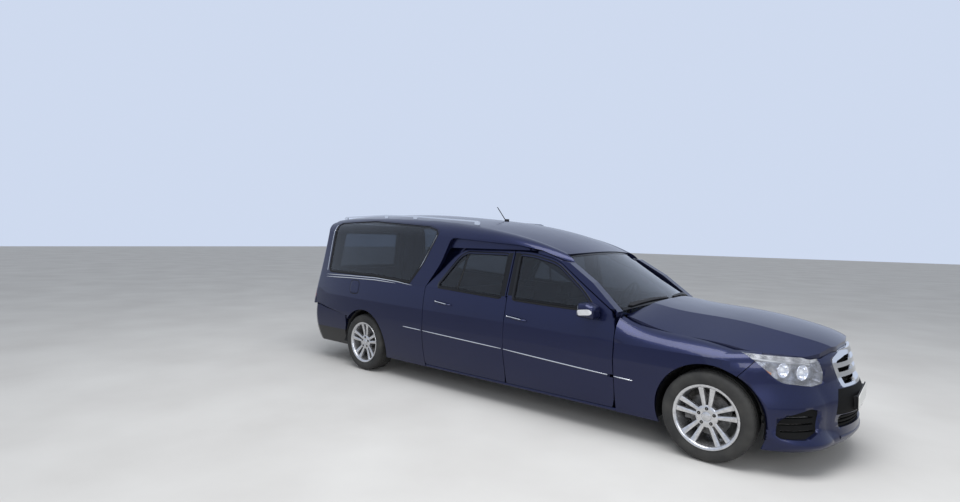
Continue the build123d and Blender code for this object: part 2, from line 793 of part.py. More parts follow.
def build_front_bumper():
    """Nose of the body ahead of the wings, with its openings for the lamps, grille and intakes."""
    shell = nose_shell() & side_prism(bumper_side(), (-1100, 1100))
    shell = shell - front_prism(INTAKE, FORWARD) - front_prism(ring_outline(GRILLE, SEAT), FORWARD)
    arch = cylinder_y(FRONT_AXLE, AXLE_Z, FRONT_ARCH_R, (-1100, -480))
    for cut in (front_prism(SIDE_INTAKE, FORWARD), lamp_prism(SEAT), arch):
        shell = shell - cut - mirrored(cut)
    return largest(shell - bonnet_room())


def build_intakes():
    """Slatted grilles in the bumper's three openings."""
    band = nose_solid(SKIN * 0.4) - nose_solid(SKIN, NOSE_REACH)
    band = band - cylinder_y(FRONT_AXLE, AXLE_Z, FRONT_ARCH_R, (-1100, -480))
    pieces = []
    for outline, heights in ((INTAKE, (318, 346, 374)), (SIDE_INTAKE, (300, 345, 390))):
        panel = band & front_prism(ring_outline(outline, -SEAT), FORWARD)
        low, high = min(p[1] for p in outline), max(p[1] for p in outline)
        for height in heights:
            if low < height < high:
                left, right = min(p[0] for p in outline) + 40, max(p[0] for p in outline) - 40
                panel = panel - box(FORWARD, (left, right), (height, height + 12))
        pieces.append(largest(panel))
    return Compound(children=[pieces[0], pieces[1], mirrored(pieces[1])])


SLATS = (640, 705)


def build_grille():
    """Bright frame with two broad slats over dark gaps."""
    frame = nose_shell() & front_prism(GRILLE, FORWARD)
    hole = front_prism(GRILLE_GAP, FORWARD)
    slats = [box(FORWARD, (-460, 460), (z, z + 34)) for z in SLATS]
    return largest(frame - (hole - slats[0] - slats[1]) - bonnet_room())


LAMP_DEPTH = 110.0


def build_headlamp():
    lamp = nose_shell(LAMP_DEPTH) & lamp_prism() & box((NOSE_BACK + 14, front(900)), (-1100, 0), (500, 900))
    return largest(lamp - front_prism(ring_outline(GRILLE, GAP), FORWARD) - bonnet_room())


def bonnet_outline(shrink=0.0):
    s = shrink
    return [
        (front(722) - s, -0.0, 0),
        (front(700) - s, -300, 300),
        (front(628) - s, -490 + s, 60),
        (front(560) - s, -600 + s, 200),
        (front(250), -770 + s, 300),
        (front(-560), -762 + s, 100),
        (front(-690) + s, -752 + s, 20),
        (front(-597) + s, -420, 700),
        (front(-569) + s, 0, 0),
    ]


def bonnet_layer(over, under):
    """The bonnet's form across the car, from that far over its face to that far under it."""
    wires = []
    for x, top_z, shoulder_y, shoulder_z, edge_y, edge_z in BONNET:
        left = [(-edge_y, edge_z), (-shoulder_y, shoulder_z)]
        half = [*left, (0, top_z), *[(-y, z) for y, z in reversed(left)]]
        upper = [(x, y, z + over) for y, z in half]
        lower = [(x, y, z - under) for y, z in reversed(half)]
        edges = []
        for side, other in ((upper, lower), (lower, upper)):
            edges += [line(side[0], side[1]), arc(*side[1:4]), line(side[3], side[4]), line(side[4], other[0])]
        wires.append(Wire(edges))
    return Solid.make_loft(wires)


def bonnet_prism(shrink=0.0):
    right = bonnet_outline(shrink)
    left = [(u, -v, *rest) for u, v, *rest in reversed(right[1:-1])]
    return plan_prism([*right, *left], (500, 1200))


BONNET_HINGE = (front(-706), 1000.0)  # x, z, under the corners of the windscreen
BONNET_ARM_Y = (-656.0, -636.0)
BONNET_PIN_R = 5.0


def bonnet_arm():
    """Right-hand hinge arm under the bonnet, with its eye."""
    x, z = BONNET_HINGE
    low = FIREWALL_TOP + 36
    plate = side_prism(
        [
            (x - 13, z, 0),
            (x - 13, low, 20),
            (front(-560), low, 0),
            (front(-560), low + 42, 0),
            (front(-648), low + 38, 0),
            (x + 13, low + 24, 0),
            (x + 13, z, 0),
        ],
        BONNET_ARM_Y,
    )
    eye = cylinder_y(x, z, 13, BONNET_ARM_Y)
    far = (BONNET_ARM_Y[0] - 10, BONNET_ARM_Y[1] + 10)
    return plate + eye - cylinder_y(x, z, BONNET_PIN_R + STUB_CLEARANCE, far)


def bonnet_lugs():
    """Right-hand pair of lugs of the scuttle, with the pin between them."""
    x, z = BONNET_HINGE
    low, high = BONNET_ARM_Y
    side = MOVING_GAP
    lugs = cylinder_y(x, z, BONNET_PIN_R, (low - side - 4, high + side + 4))
    for y in ((low - side - 8, low - side), (high + side, high + side + 8)):
        lugs = lugs + box((x - 9, x + 9), y, (FIREWALL_TOP + SEAT, z)) + cylinder_y(x, z, 9, y)
    return lugs


def build_bonnet():
    skin = bonnet_layer(0, SKIN) & bonnet_prism()
    return largest(skin + bonnet_arm() + mirrored(bonnet_arm()))


def bonnet_room():
    """What the bonnet and the gap round it take from the pieces beside it."""
    return bonnet_layer(60, SKIN + MOVING_GAP) & bonnet_prism(-MOVING_GAP)


# Rear of the body


def belt_line(rise, first=front(-600)):
    """Points (x, z) along the belt, moved up by rise."""
    return [(row[0], row[-1] + rise) for row in SIDE if row[0] <= first]


def build_quarter_panel():
    panel = side_wall((0.0, QUARTER_SKIN, None))
    panel = panel - cylinder_y(REAR_AXLE, AXLE_Z, REAR_ARCH_R, (-1100, -600))
    panel = panel - box((DOOR_REAR - MOVING_GAP, front(0)), (-1100, -600), (0, 1300))
    above = [*belt_line(0, DOOR_REAR + 1), (rear(-1300), 1102), (rear(-1300), 1300), (DOOR_REAR + 1, 1300)]
    panel = panel - side_prism(above, (-1100, -600))
    panel = panel - side_prism(rear_bumper_seam(GAP), (-1100, -600))
    return largest(panel - behind_tail())


def rear_bumper_seam(grow=0.0):
    return [
        (rear(-300), 606 + grow, 0),
        (rear(-350), 612 + grow, 0),
        (rear(-956), 694 + grow, 0),
        (rear(-1400), 694 + grow, 0),
        (rear(-1400), 100, 0),
        (rear(-300), 100, 0),
    ]


def roof_section(row, inset=0.0, drop=0.0):
    x, base_y, cant_y, cant_z, edge_y, edge_z, top_z = row
    base_y, cant_y, edge_y = base_y - inset, cant_y - inset, edge_y - inset
    edge_z, top_z, cant_z = edge_z - drop, top_z - drop, cant_z - drop * 0.4
    base_z = ROOF_BASE_Z - (60 if inset > SKIN / 2 else 0)
    right = [(x, -base_y, base_z), (x, -cant_y, cant_z), (x, -edge_y, edge_z)]
    left = [(x, -y, z) for _, y, z in reversed(right)]
    bend = between(right[1], right[2])
    bend = (x, bend[1] - 16, bend[2] + 16)
    other = (x, -bend[1], bend[2])
    return Wire(
        [
            line(right[0], right[1]),
            arc(right[1], bend, right[2]),
            arc(right[2], (x, 0, top_z), left[0]),
            arc(left[0], other, left[1]),
            line(left[1], left[2]),
            line(left[2], right[0]),
        ]
    )


def roof_solid(inset=0.0, drop=0.0):
    return Solid.make_loft([roof_section(row, inset, drop) for row in ROOF])


BAY_WINDOW = [
    (front(-3130), 1072, 20),
    (front(-2960), 1280, 600),
    (front(-2768), 1640, 60),
    (front(-2960), 1690, 200),
    (front(-3923), 1752, 900),
    (front(-4606), 1728, 70),
    (front(-4664), 1116, 60),
    (front(-3747), 1110, 900),
]


def over_doors():
    """Side view of what the coach roof leaves open for the doors."""
    return [
        (front(-1000), 900, 0),
        (front(-1000), 1330, 0),
        (RECESS_TOP[0][0], RECESS_TOP[0][1], 0),
        (RECESS_TOP[1][0], RECESS_TOP[1][1], 200),
        (RECESS_TOP[2][0], RECESS_TOP[2][1], 600),
        (RECESS_TOP[3][0] - 30, RECESS_TOP[3][1], 70),
        (front(-2700), 1300, 600),
        (DOOR_REAR - MOVING_GAP, belt_at(DOOR_REAR), 0),
        (DOOR_REAR - MOVING_GAP, 900, 0),
    ]


RECESS_DEPTH = ROOF_SKIN - 2  # of the panel over the doors, in from the roof's face
RECESS_PANEL = 14.0
LEDGE_Y = (-760.0, -652.0)


def recess_panel():
    """Set-back panel over the right-hand doors, with the ledge that rests on the side frame."""
    outer, inner = RECESS_DEPTH, RECESS_DEPTH + RECESS_PANEL
    band = roof_solid(outer, outer) - roof_solid(inner, inner)
    middle_x, middle_z = front(-2000), 1300
    grown = []
    for u, v, radius in over_doors():
        grown.append((u + (20 if u > middle_x else -20), v + (30 if v > middle_z else 0), radius))
    over_frame = box((DOOR_REAR + 20, front(-1300)), (-1100, 0), (FRAME_TOP_Z + SEAT, 1700))
    band = band & side_prism(grown, OUTSIDE) & over_frame
    reach = box((front(-2470), front(-1640)), LEDGE_Y, (FRAME_TOP_Z + SEAT, FRAME_TOP_Z + RECESS_PANEL))
    panel = band + reach
    for outline in (front_door_outline, rear_door_outline):
        panel = panel - side_prism(outline(MOVING_GAP), (-1100, -700))
    return largest(panel)


def build_coach_roof():
    shell = roof_solid() - roof_solid(ROOF_SKIN, ROOF_SKIN)
    belt = belt_line(SEAT)
    (front_x, _), (rear_x, rear_z) = belt[0], belt[-1]
    below = [*[(x, z, 0) for x, z in belt], (rear_x - 300, rear_z, 0), (rear_x - 300, 900, 0), (front_x, 900, 0)]
    for outline in (over_doors(), BAY_WINDOW, below):
        cut = side_prism(outline, OUTSIDE)
        shell = shell - cut - mirrored(cut)
    panel = recess_panel()
    shell = shell + panel + mirrored(panel)
    return largest(shell - screen_outline(SEAT) - behind_tail())


def build_bay_glass():
    sheet = roof_solid(6, 6) - roof_solid(6 + GLASS_THICK, 6 + GLASS_THICK)
    return largest(sheet & side_prism(ring_outline(BAY_WINDOW, -SEAT), (-1100, -300)))


# Rear end: z, side_y, corner_y
TAIL = [
    (690, 852, 740),
    (860, 838, 735),
    (1100, 806, 720),
    (1500, 762, 680),
    (1820, 730, 640),
]
TAILGATE = [(-600, 700, 30), (-600, 1080, 200), (-545, 1650, 200), (-470, 1738, 60)]
REAR_GLASS = [(-520, 1120, 50), (-478, 1640, 60)]


# Hinge axis of the tailgate (x, z), just inside its top edge
TAILGATE_ROUND = 16.0
TAILGATE_HINGE = (tail_x(TAILGATE_TOP_Z - 16, TAIL_DEPTH - 15), TAILGATE_TOP_Z - 16)


def tail_wire(row):
    z, side_y, corner_y = row
    x, back = tail_x(z), tail_x(z, TAIL_DEPTH)
    right = [
        (x, -side_y, z),
        (x - TAIL_DEPTH * 0.55, 22 - side_y, z),
        (x - TAIL_DEPTH * 0.9, -corner_y, z),
    ]
    left = [(a, -b, c) for a, b, c in reversed(right)]
    return Wire([arc(*right), arc(right[2], (back, 0, z), left[0]), arc(*left), line(left[2], right[0])])


def tail_block():
    block = Solid.make_loft([tail_wire(row) for row in TAIL])
    profile = ROOF[-1]
    section = Wire(roof_section(profile).edges())
    keep = Solid.extrude(Face(section), Vector(-400, 0, 0))
    keep = Pos(200, 0, 0) * keep
    lower = box((TAIL_X - 400, TAIL_X + 300), (-900, 900), (600, 1100))
    return block & (keep + lower)


def symmetric(outline):
    """A closed outline from its right-hand points."""
    return [*outline, *[(-u, v, *rest) for u, v, *rest in reversed(outline)]]


ACROSS = (TAIL_X - 500, TAIL_X + 500)


def tail_layer(near, far):
    """Between two planes that lean with the rear end, near and far behind the side panels."""
    return behind_tail(near) - behind_tail(far)


def build_tail_frame(block):
    frame = block - front_prism(ring_outline(symmetric(TAILGATE), MOVING_GAP), ACROSS)
    frame = frame - tail_lamp_prism(SEAT) - mirrored(tail_lamp_prism(SEAT))
    frame = frame - cylinder_y(*TAILGATE_HINGE, TAILGATE_ROUND + MOVING_GAP, (-500, 500))
    frame = frame - cylinder_y(*TAILGATE_HINGE, 6 + STUB_CLEARANCE, (-524, 524))
    return Compound(children=[s for s in frame.solids() if s.volume > 1e6])


def tail_lamp_prism(grow=0.0):
    g = grow
    return front_prism(
        [(-900, 770 - g, 0), (-900, 950 + g, 0), (-640 + g, 950 + g, 20), (-640 + g, 770 - g, 20)],
        (TAIL_X - 500, tail_x(860, 40)),
    )


def build_tail_lamp(block):
    return largest(block & tail_lamp_prism())


def build_tailgate(block):
    gate = block & tail_layer(TAIL_DEPTH * 0.35, 600) & front_prism(symmetric(TAILGATE), ACROSS)
    gate = gate - front_prism(symmetric(REAR_GLASS), ACROSS)
    x, z = TAILGATE_HINGE
    corner = box((x - 80, x), (-700, 700), (z, z + 60)) - cylinder_y(x, z, TAILGATE_ROUND, (-710, 710))
    return largest(gate - corner + cylinder_y(x, z, 6, (-520, 520)))


def build_tailgate_glass(block):
    pane = block & tail_layer(TAIL_DEPTH * 0.7, TAIL_DEPTH * 0.7 + GLASS_THICK)
    return largest(pane & front_prism(ring_outline(symmetric(REAR_GLASS), -SEAT), ACROSS))


def stern_wire(row, inset=0.0):
    z, tail, bow_x, corner_x, corner_y, side_y = row
    front_x = rear(-330)
    right = [
        (front_x, inset - side_y, z),
        (corner_x + 150, inset - side_y, z),
        (corner_x + inset, inset - corner_y - 60, z),
        (bow_x + inset, inset - STERN_BOW_Y - 200, z),
    ]
    left = [(x, -y, z) for x, y, _ in reversed(right)]
    return Wire(
        [
            line(right[0], right[1]),
            arc(*right[1:]),
            arc(right[3], (tail + inset, 0, z), left[0]),
            arc(*left[:3]),
            line(left[2], left[3]),
            line(left[3], right[0]),
        ]
    )


def stern_solid(inset=0.0, reach=0.0):
    rows = [list(row) for row in STERN]
    rows[0][0] -= reach
    rows[-1][0] += reach
    return Solid.make_loft([stern_wire(row, inset) for row in rows])


def build_rear_bumper():
    shell = stern_solid() - stern_solid(SKIN, 40)
    shell = shell & side_prism(rear_bumper_seam(), (-1100, 1100))
    arch = cylinder_y(REAR_AXLE, AXLE_Z, REAR_ARCH_R, (-1100, -600))
    return largest(shell - arch - mirrored(arch) - box((rear(-345), rear(0)), (-1000, 1000), (0, 900)))


# Glass, roof fittings


def build_windscreen():
    return largest(screen_sheet(-SCREEN_THICK, 0.0) & screen_outline(0.0))


RAIL_Y = 600.0
RAIL_FEET = (front(-2420), front(-3345), front(-3845), front(-4640))


def roof_height(x, y):
    """Height of the coach roof's skin at a place, from the rows of ROOF."""
    for ahead, behind in zip(ROOF, ROOF[1:]):
        if behind[0] <= x <= ahead[0]:
            share = (ahead[0] - x) / (ahead[0] - behind[0])
            edge_y, edge_z, top_z = (a + (b - a) * share for a, b in zip(ahead[4:], behind[4:]))
            drop = top_z - edge_z
            radius = (edge_y**2 + drop**2) / (2 * drop)
            return top_z - radius + sqrt(radius**2 - y**2)
    return ROOF[-1][-1]


def build_roof_rail(roof):
    """Slender rail on four feet, right-hand side."""
    half = 9.0
    tops = [(x, roof_height(x, RAIL_Y) + 42) for x in RAIL_FEET]
    upper = [(x, z, 0) for x, z in tops]
    lower = [(x, z - 14, 0) for x, z in reversed(tops)]
    nose, tail = (RAIL_FEET[0] + 40, tops[0][1] - 26, 0), (RAIL_FEET[-1] - 40, tops[-1][1] - 26, 0)
    rail = side_prism([nose, *upper, tail, *lower], (-RAIL_Y - half, -RAIL_Y + half))
    for x in RAIL_FEET:
        top = roof_height(x, RAIL_Y)
        rail = rail + box((x - 28, x + 28), (-RAIL_Y - half, -RAIL_Y + half), (top - 30, top + 34))
    return largest(rail - roof)


# Cabin and load bay

FLOOR_Z = (256.0, 286.0)
FIREWALL_X = (front(-592), front(-562))
DECK_FRONT = front(-2806)


INNER_WALL = DOOR_THICK + MOVING_GAP + SIDE_FRAME_THICK + SEAT
FIREWALL_TOP = 860.0
RAIL_TOP = DECK_Z - 24 - SEAT


def build_floor_pan():
    """Floor with its firewall and tunnel, and two rails that carry the deck and the rear axle."""
    pan = box((DECK_FRONT + 40, FIREWALL_X[1]), (-900, 900), FLOOR_Z)
    wall = box(FIREWALL_X, (-900, 900), (FLOOR_Z[0], FIREWALL_TOP))
    pan = (pan + wall) & body_core(INNER_WALL)
    pan = pan + box((DECK_FRONT + 60, FIREWALL_X[0]), (-110, 110), (FLOOR_Z[1], 360))
    for y in (-500, 430):
        upright = box((DECK_FRONT + 40, DECK_FRONT + 100), (y, y + 70), (FLOOR_Z[0], RAIL_TOP))
        pan = pan + upright + box((tail_x(600) + 70, DECK_FRONT + 100), (y, y + 70), (500, RAIL_TOP))
    return largest(pan)


def build_scuttle():
    """Trough between the bonnet and the windscreen, on the firewall."""
    rear_x, foot = front(-735), FIREWALL_TOP + SEAT
    beam = side_prism(
        [
            (FIREWALL_X[1], foot, 0),
            (FIREWALL_X[1], 884, 0),
            (front(-708), 884, 0),
            (front(-708), 966, 0),
            (rear_x, 974, 0),
            (rear_x, foot, 0),
        ],
        (-900, 900),
    )
    beam = beam & body_core(INNER_WALL)
    x, z = BONNET_HINGE
    notch = box((x - 24, x + 40), (BONNET_ARM_Y[0] - MOVING_GAP, BONNET_ARM_Y[1] + MOVING_GAP), (FIREWALL_TOP + 24, z + 60))
    for cut, lugs in ((notch, bonnet_lugs()), (mirrored(notch), mirrored(bonnet_lugs()))):
        beam = beam - cut + lugs
    return largest(beam)


def build_dashboard():
    near = front(-735) - SEAT
    body = side_prism(
        [
            (near, 760, 0),
            (near, 968, 0),
            (front(-900), 974, 60),
            (front(-1080), 966, 40),
            (front(-1120), 900, 60),
            (front(-1060), 720, 40),
            (front(-900), 700, 0),
        ],
        (-900, 900),
    )
    return largest((body & body_core(INNER_WALL)) - at_steering_wheel(Pos(0, 0, -60) * Cylinder(24 + SEAT, 240)))


WHEEL_PLACE = (front(-1190), 370.0, 980.0)


def at_steering_wheel(shape):
    return Pos(*WHEEL_PLACE) * Rot(0, -65, 0) * shape


def build_steering_wheel():
    grip = [(-12, 5), (-5, 12), (5, 12), (12, 5), (12, -5), (5, -12), (-5, -12), (-12, -5)]
    points = [(178 + u, 0, v) for u, v in grip]
    ring = Solid.revolve(Face(Wire(polyline([*points, points[0]]))), 360, Axis.Z) + Cylinder(46, 30)
    for angle in (0, 180, 270):
        ring = ring + Rot(0, 0, angle) * Pos(105, 0, 0) * Box(140, 34, 14)
    return at_steering_wheel(ring + Pos(0, 0, -90) * Cylinder(24, 170))


def build_seat(x, y, back_height=610.0):
    """One seat on the floor: cushion, back and a head restraint in one outline."""
    outline = [
        (x, FLOOR_Z[1] + SEAT, 20),
        (x, 520, 60),
        (x - 470, 500, 60),
        (x - 640, 500 + back_height, 40),
        (x - 740, 500 + back_height - 10, 40),
        (x - 620, FLOOR_Z[1] + SEAT, 60),
    ]
    return side_prism(outline, y)


def build_rear_seat():
    """Bench across the tunnel, ahead of the load bay's wall."""
    bench = build_seat(front(-2030), (-600, 600), 540)
    return bench - box((front(-3000), front(-1500)), (-110 - SEAT, 110 + SEAT), (0, 360 + SEAT))


def build_load_deck():
    """Platform between the wheels, its shelves over them and the wall ahead of it."""
    behind = DOOR_REAR - 90 - SEAT
    inner, outer = 636.0, 652.0
    under = [(-900, 760, 0), (-900, 744, 0), (-outer, 744, 0), (-outer, DECK_Z - 24, 0)]
    over = [(inner, 760, 0), (inner, DECK_Z, 0), (-inner, DECK_Z, 0), (-inner, 760, 0)]
    outline = [*under, *[(-u, v, r) for u, v, r in reversed(under)], *over]
    deck = front_prism(outline, (tail_x(600) + 70, behind)) & body_core(QUARTER_SKIN + SEAT)
    deck = deck + (front_prism(outline, (behind - 5, DECK_FRONT)) & body_core(INNER_WALL))
    wall = box((DECK_FRONT, DECK_FRONT + 30), (-900, 900), (RAIL_TOP + SEAT, 1020)) & body_core(INNER_WALL)
    return largest(deck + wall)


# Running gear


def build_engine_block():
    return box((front(-500), front(240)), (-290, 290), (FLOOR_Z[0], 800))


def arm(x, z, y_in, y_out, half=30.0, thick=22.0):
    """Flat arm with a round eye at its outer end, along -Y."""
    bar = box((x - half, x + half), (-y_out, -y_in), (z - thick / 2, z + thick / 2))
    return bar + cylinder_z(x, -y_out, half, (z - thick / 2, z + thick / 2))


ARM_Z = (161.0, 488.0)


BEAM_Z = (430.0, 540.0)
BEAM_DEPTH = 80.0


def build_front_subframe():
    """Cross member, arms and rails that carry the knuckles, the engine and the bumper's beam."""
    top = FLOOR_Z[0] - SEAT
    frame = box((FRONT_AXLE - 70, FRONT_AXLE + 70), (-470, 470), (190, top))
    for y in (-330, 250):
        frame = frame + box((front(-680), FRONT_AXLE), (y, y + 80), (196, top))
        frame = frame + box((FRONT_AXLE, front(700)), (y, y + 80), (196, top))
        frame = frame + box((front(640), front(700)), (y, y + 80), (196, BEAM_Z[1]))
    inside = nose_solid(SKIN + SEAT, NOSE_REACH) - nose_solid(SKIN + BEAM_DEPTH, NOSE_REACH)
    frame = frame + (inside & box((front(560), front(900)), (-640, 640), BEAM_Z))
    for side in (1, -1):
        half = box((FRONT_AXLE - 40, FRONT_AXLE + 40), (-480, -430), (150, 499))
        for z in ARM_Z:
            half = half + arm(FRONT_AXLE, z, 440, KINGPIN_Y)
        half = half - cylinder_z(FRONT_AXLE, -KINGPIN_Y, KINGPIN_R + STUB_CLEARANCE, (100, 560))
        frame = frame + (half if side > 0 else mirrored(half))
    return largest(frame)


CALIPER_GAP = 6.0


def build_caliper(x, hub_y):
    """Brake caliper behind the disc, with its arm back to the upright. hub_y: disc's inner face."""
    outer = hub_y - DISC_THICK
    block = box((x - 172, x - 96), (outer - 18, hub_y + 22), (AXLE_Z - 58, AXLE_Z + 58))
    slot = cylinder_y(x, AXLE_Z, DISC_R + CALIPER_GAP, (outer - CALIPER_GAP, hub_y + CALIPER_GAP))
    bracket = box((x - 110, x - 20), (hub_y + CALIPER_GAP, hub_y + 30), (AXLE_Z - 36, AXLE_Z + 36))
    return (block - slot) + bracket


DISC_Y = -764.0


def build_knuckle():
    """Right-hand steering knuckle: kingpin, upright, stub axle and caliper."""
    upright = box((FRONT_AXLE - 34, FRONT_AXLE + 34), (-752, -704), (ARM_Z[0] + 14, ARM_Z[1] - 14))
    pin = cylinder_z(FRONT_AXLE, -KINGPIN_Y, KINGPIN_R, (ARM_Z[0] - 16, ARM_Z[1] + 16))
    stub = cylinder_y(FRONT_AXLE, AXLE_Z, STUB_R, (-862, -730))
    return largest(upright + pin + stub + build_caliper(FRONT_AXLE, DISC_Y))


def build_rear_axle():
    beam = cylinder_y(REAR_AXLE, AXLE_Z, 42, (-740, 740))
    beam = beam + cylinder_y(REAR_AXLE, AXLE_Z, 110, (-120, 120))
    half = cylinder_y(REAR_AXLE, AXLE_Z, STUB_R, (-862, -730)) + cylinder_y(REAR_AXLE, AXLE_Z, 60, (-752, -704))
    half = half + build_caliper(REAR_AXLE, DISC_Y)
    links = box((REAR_AXLE - 30, REAR_AXLE + 30), (-500, -430), (AXLE_Z, 500 - SEAT))
    half = half + links
    return largest(beam + half + mirrored(half))


def dished_face(outer_y):
    """Ring in which the spokes lie: its face falls back towards the hub. Distances from outer_y."""
    rim = BEAD_R - 2
    profile = [(0, 26), (60, 28), (88, 34), (150, 26), (rim, 10), (rim, 34), (150, 56), (88, 66), (0, 66)]
    points = [(radius, outer_y + depth, 0) for radius, depth in profile]
    return Solid.revolve(Face(Wire(polyline([*points, points[0]]))), 360, Axis((0, 0, 0), (0, 1, 0)))


def spoke_star(outer_y):
    """Twin spokes that widen towards the rim, and the round hub between them."""
    depth = (outer_y, outer_y + 80)
    star = cylinder_y(0, 0, HUB_R, depth)
    reach = BEAD_R + 1
    twin = None
    for side in (1, -1):
        spoke = side_prism([(30, side * 3), (reach, side * 20), (reach, side * 56), (30, side * 29)], depth)
        twin = spoke if twin is None else twin + spoke
    for pair in range(SPOKE_PAIRS):
        star = star + Rot(0, 360 / SPOKE_PAIRS * pair + 90, 0) * twin
    return star


def build_rim(x):
    """Right-hand rim with its hub and brake disc. The face looks to -Y."""
    inner_y, outer_y = -(TRACK_HALF - 112), -(TRACK_HALF + 112)
    profile = [
        (BEAD_R - 12, inner_y),
        (RIM_R, inner_y),
        (RIM_R, inner_y - 8),
        (BEAD_R, inner_y - 14),
        (BEAD_R, outer_y + 14),
        (RIM_R, outer_y + 8),
        (RIM_R, outer_y),
        (BEAD_R - 12, outer_y),
    ]
    points = [(radius, y, 0) for radius, y in profile]
    wire = Wire(polyline([*points, points[0]]))
    barrel = Solid.revolve(Face(wire), 360, Axis((0, 0, 0), (0, 1, 0)))
    wheel = cylinder_y(0, 0, HUB_R, (outer_y + 40, DISC_Y - DISC_THICK + 1))
    wheel = wheel + cylinder_y(0, 0, DISC_R, (DISC_Y - DISC_THICK, DISC_Y))
    wheel = wheel + (dished_face(outer_y) & spoke_star(outer_y))
    for lug in range(SPOKE_PAIRS):
        angle = radians(360 / SPOKE_PAIRS * lug + 90)
        place = (LUG_CIRCLE_R * cos(angle), LUG_CIRCLE_R * sin(angle))
        wheel = wheel - cylinder_y(*place, LUG_R, (outer_y, outer_y + 44))
    wheel = barrel + wheel
    bore = cylinder_y(0, 0, STUB_R + STUB_CLEARANCE, (-863, DISC_Y + 10))
    return Pos(x, 0, AXLE_Z) * largest(wheel - bore)


def build_tyre(x):
    """Right-hand tyre, closed between its beads."""
    middle = -TRACK_HALF
    half = [
        (BEAD_R + SEAT, 96),
        (238, 101),
        (276, TYRE_WIDTH / 2),
        (302, TYRE_WIDTH / 2 - 7),
        (319, 98),
        (TYRE_R, 78),
    ]
    left = [(radius, middle + y, 0) for radius, y in half]
    right = [(radius, middle - y, 0) for radius, y in reversed(half)]
    profile = Face(Wire(polyline([*left, *right, left[0]])))
    return Pos(x, 0, AXLE_Z) * Solid.revolve(profile, 360, Axis((0, 0, 0), (0, 1, 0)))


def build_exhaust():
    """Pipe, silencer and tail pipes."""
    z, y = 222.0, -200.0
    pipe = Rot(0, 90, 0) * Cylinder(28, front(-700) - rear(-700))
    pipe = Pos((front(-700) + rear(-700)) / 2, y, z) * pipe
    silencer = box((rear(-1060), rear(-560)), (y - 160, y + 60), (165, 252))
    middle = box((front(-2000), front(-1400)), (y - 70, y + 70), (180, FLOOR_Z[0] - SEAT))
    tips = Pos(rear(-1130), y - 110, 202) * Rot(0, 90, 0) * Cylinder(30, 160)
    return largest(pipe + silencer + middle + tips)


def build_wiper():
    """Right-hand wiper, resting along the foot of the windscreen."""
    outline = [(-672, 96), (-640, 112), (-70, 40), (-70, 22), (-640, 76)]
    rake = radians(SCREEN_RAKE)
    reach = 200.0

    def place(y, up):
        x = SCREEN_FOOT_X - up * cos(rake) - reach * sin(rake)
        return (x, y, SCREEN_FOOT_Z + up * sin(rake) - reach * cos(rake))

    push = 2 * reach
    band = prism(outline, place, (push * sin(rake), 0, push * cos(rake)))
    return largest(screen_sheet(SEAT, 14.0) & band)


def build_antenna(roof):
    x = front(-2490)
    z = roof_height(x, 0)
    rod = Solid.make_cylinder(5, 190, Plane(origin=(x - 20, 0, z + 12), z_dir=(-0.63, 0, 0.78)))
    return largest(cylinder_z(x, 0, 26, (z - 12, z + 22)) + rod - roof)


def write(name, shape):
    export_step(shape, f"parts/{name}.step")


def build_all():
    wall = side_wall(DOOR_WALL)
    doors = {
        "front_door": build_front_door(wall) + build_mirror(),
        "rear_door": build_rear_door(wall),
        "front_door_glass": build_door_glass(ring_outline(front_window(), -SEAT)),
        "rear_door_glass": build_door_glass(ring_outline(rear_window(), -SEAT)),
        "knuckle": build_knuckle(),
        "front_tyre": build_tyre(FRONT_AXLE),
        "rear_tyre": build_tyre(REAR_AXLE),
        "front_rim": build_rim(FRONT_AXLE),
        "rear_rim": build_rim(REAR_AXLE),
    }
    for name, shape in doors.items():
        write(name + "_right", shape)
        write(name + "_left", mirrored(shape))
    block = tail_block()
    roof = roof_solid(-SEAT, -SEAT)
    pieces = {
        "floor_pan": build_floor_pan(),
        "side_frames": both(build_side_frame()),
        "front_wings": both(build_wing()),
        "quarter_panels": both(build_quarter_panel()),
        "coach_roof": build_coach_roof(),
        "tail_frame": build_tail_frame(block),
        "tail_lamps": both(build_tail_lamp(block)),
        "tailgate": build_tailgate(block),
        "tailgate_glass": build_tailgate_glass(block),
        "front_bumper": build_front_bumper(),
        "rear_bumper": build_rear_bumper(),
        "bonnet": build_bonnet(),
        "windscreen": build_windscreen(),
        "load_bay_glass": both(build_bay_glass()),
        "headlamps": both(build_headlamp()),
        "grille": build_grille(),
        "intake_grilles": build_intakes(),
        "roof_rails": both(build_roof_rail(roof)),
        "antenna": build_antenna(roof),
        "wipers": both(build_wiper()),
        "scuttle": build_scuttle(),
        "dashboard": build_dashboard(),
        "steering_wheel": build_steering_wheel(),
        "front_seats": both(build_seat(front(-1270), (-620, -130))),
        "rear_seat": build_rear_seat(),
        "load_deck": build_load_deck(),
        "engine_block": build_engine_block(),
        "front_subframe": build_front_subframe(),
        "rear_axle": build_rear_axle(),
        "exhaust": build_exhaust(),
    }
    for name, shape in pieces.items():
        write(name, shape)


if __name__ == "__main__":
    os.makedirs("parts", exist_ok=True)
    build_all()
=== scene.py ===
"""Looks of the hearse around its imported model. Metres: +X the way it drives, +Y its left, +Z up."""
import functools
import json
import math
import bmesh
import bpy
from mathutils import Matrix, Vector
from mathutils.bvhtree import BVHTree


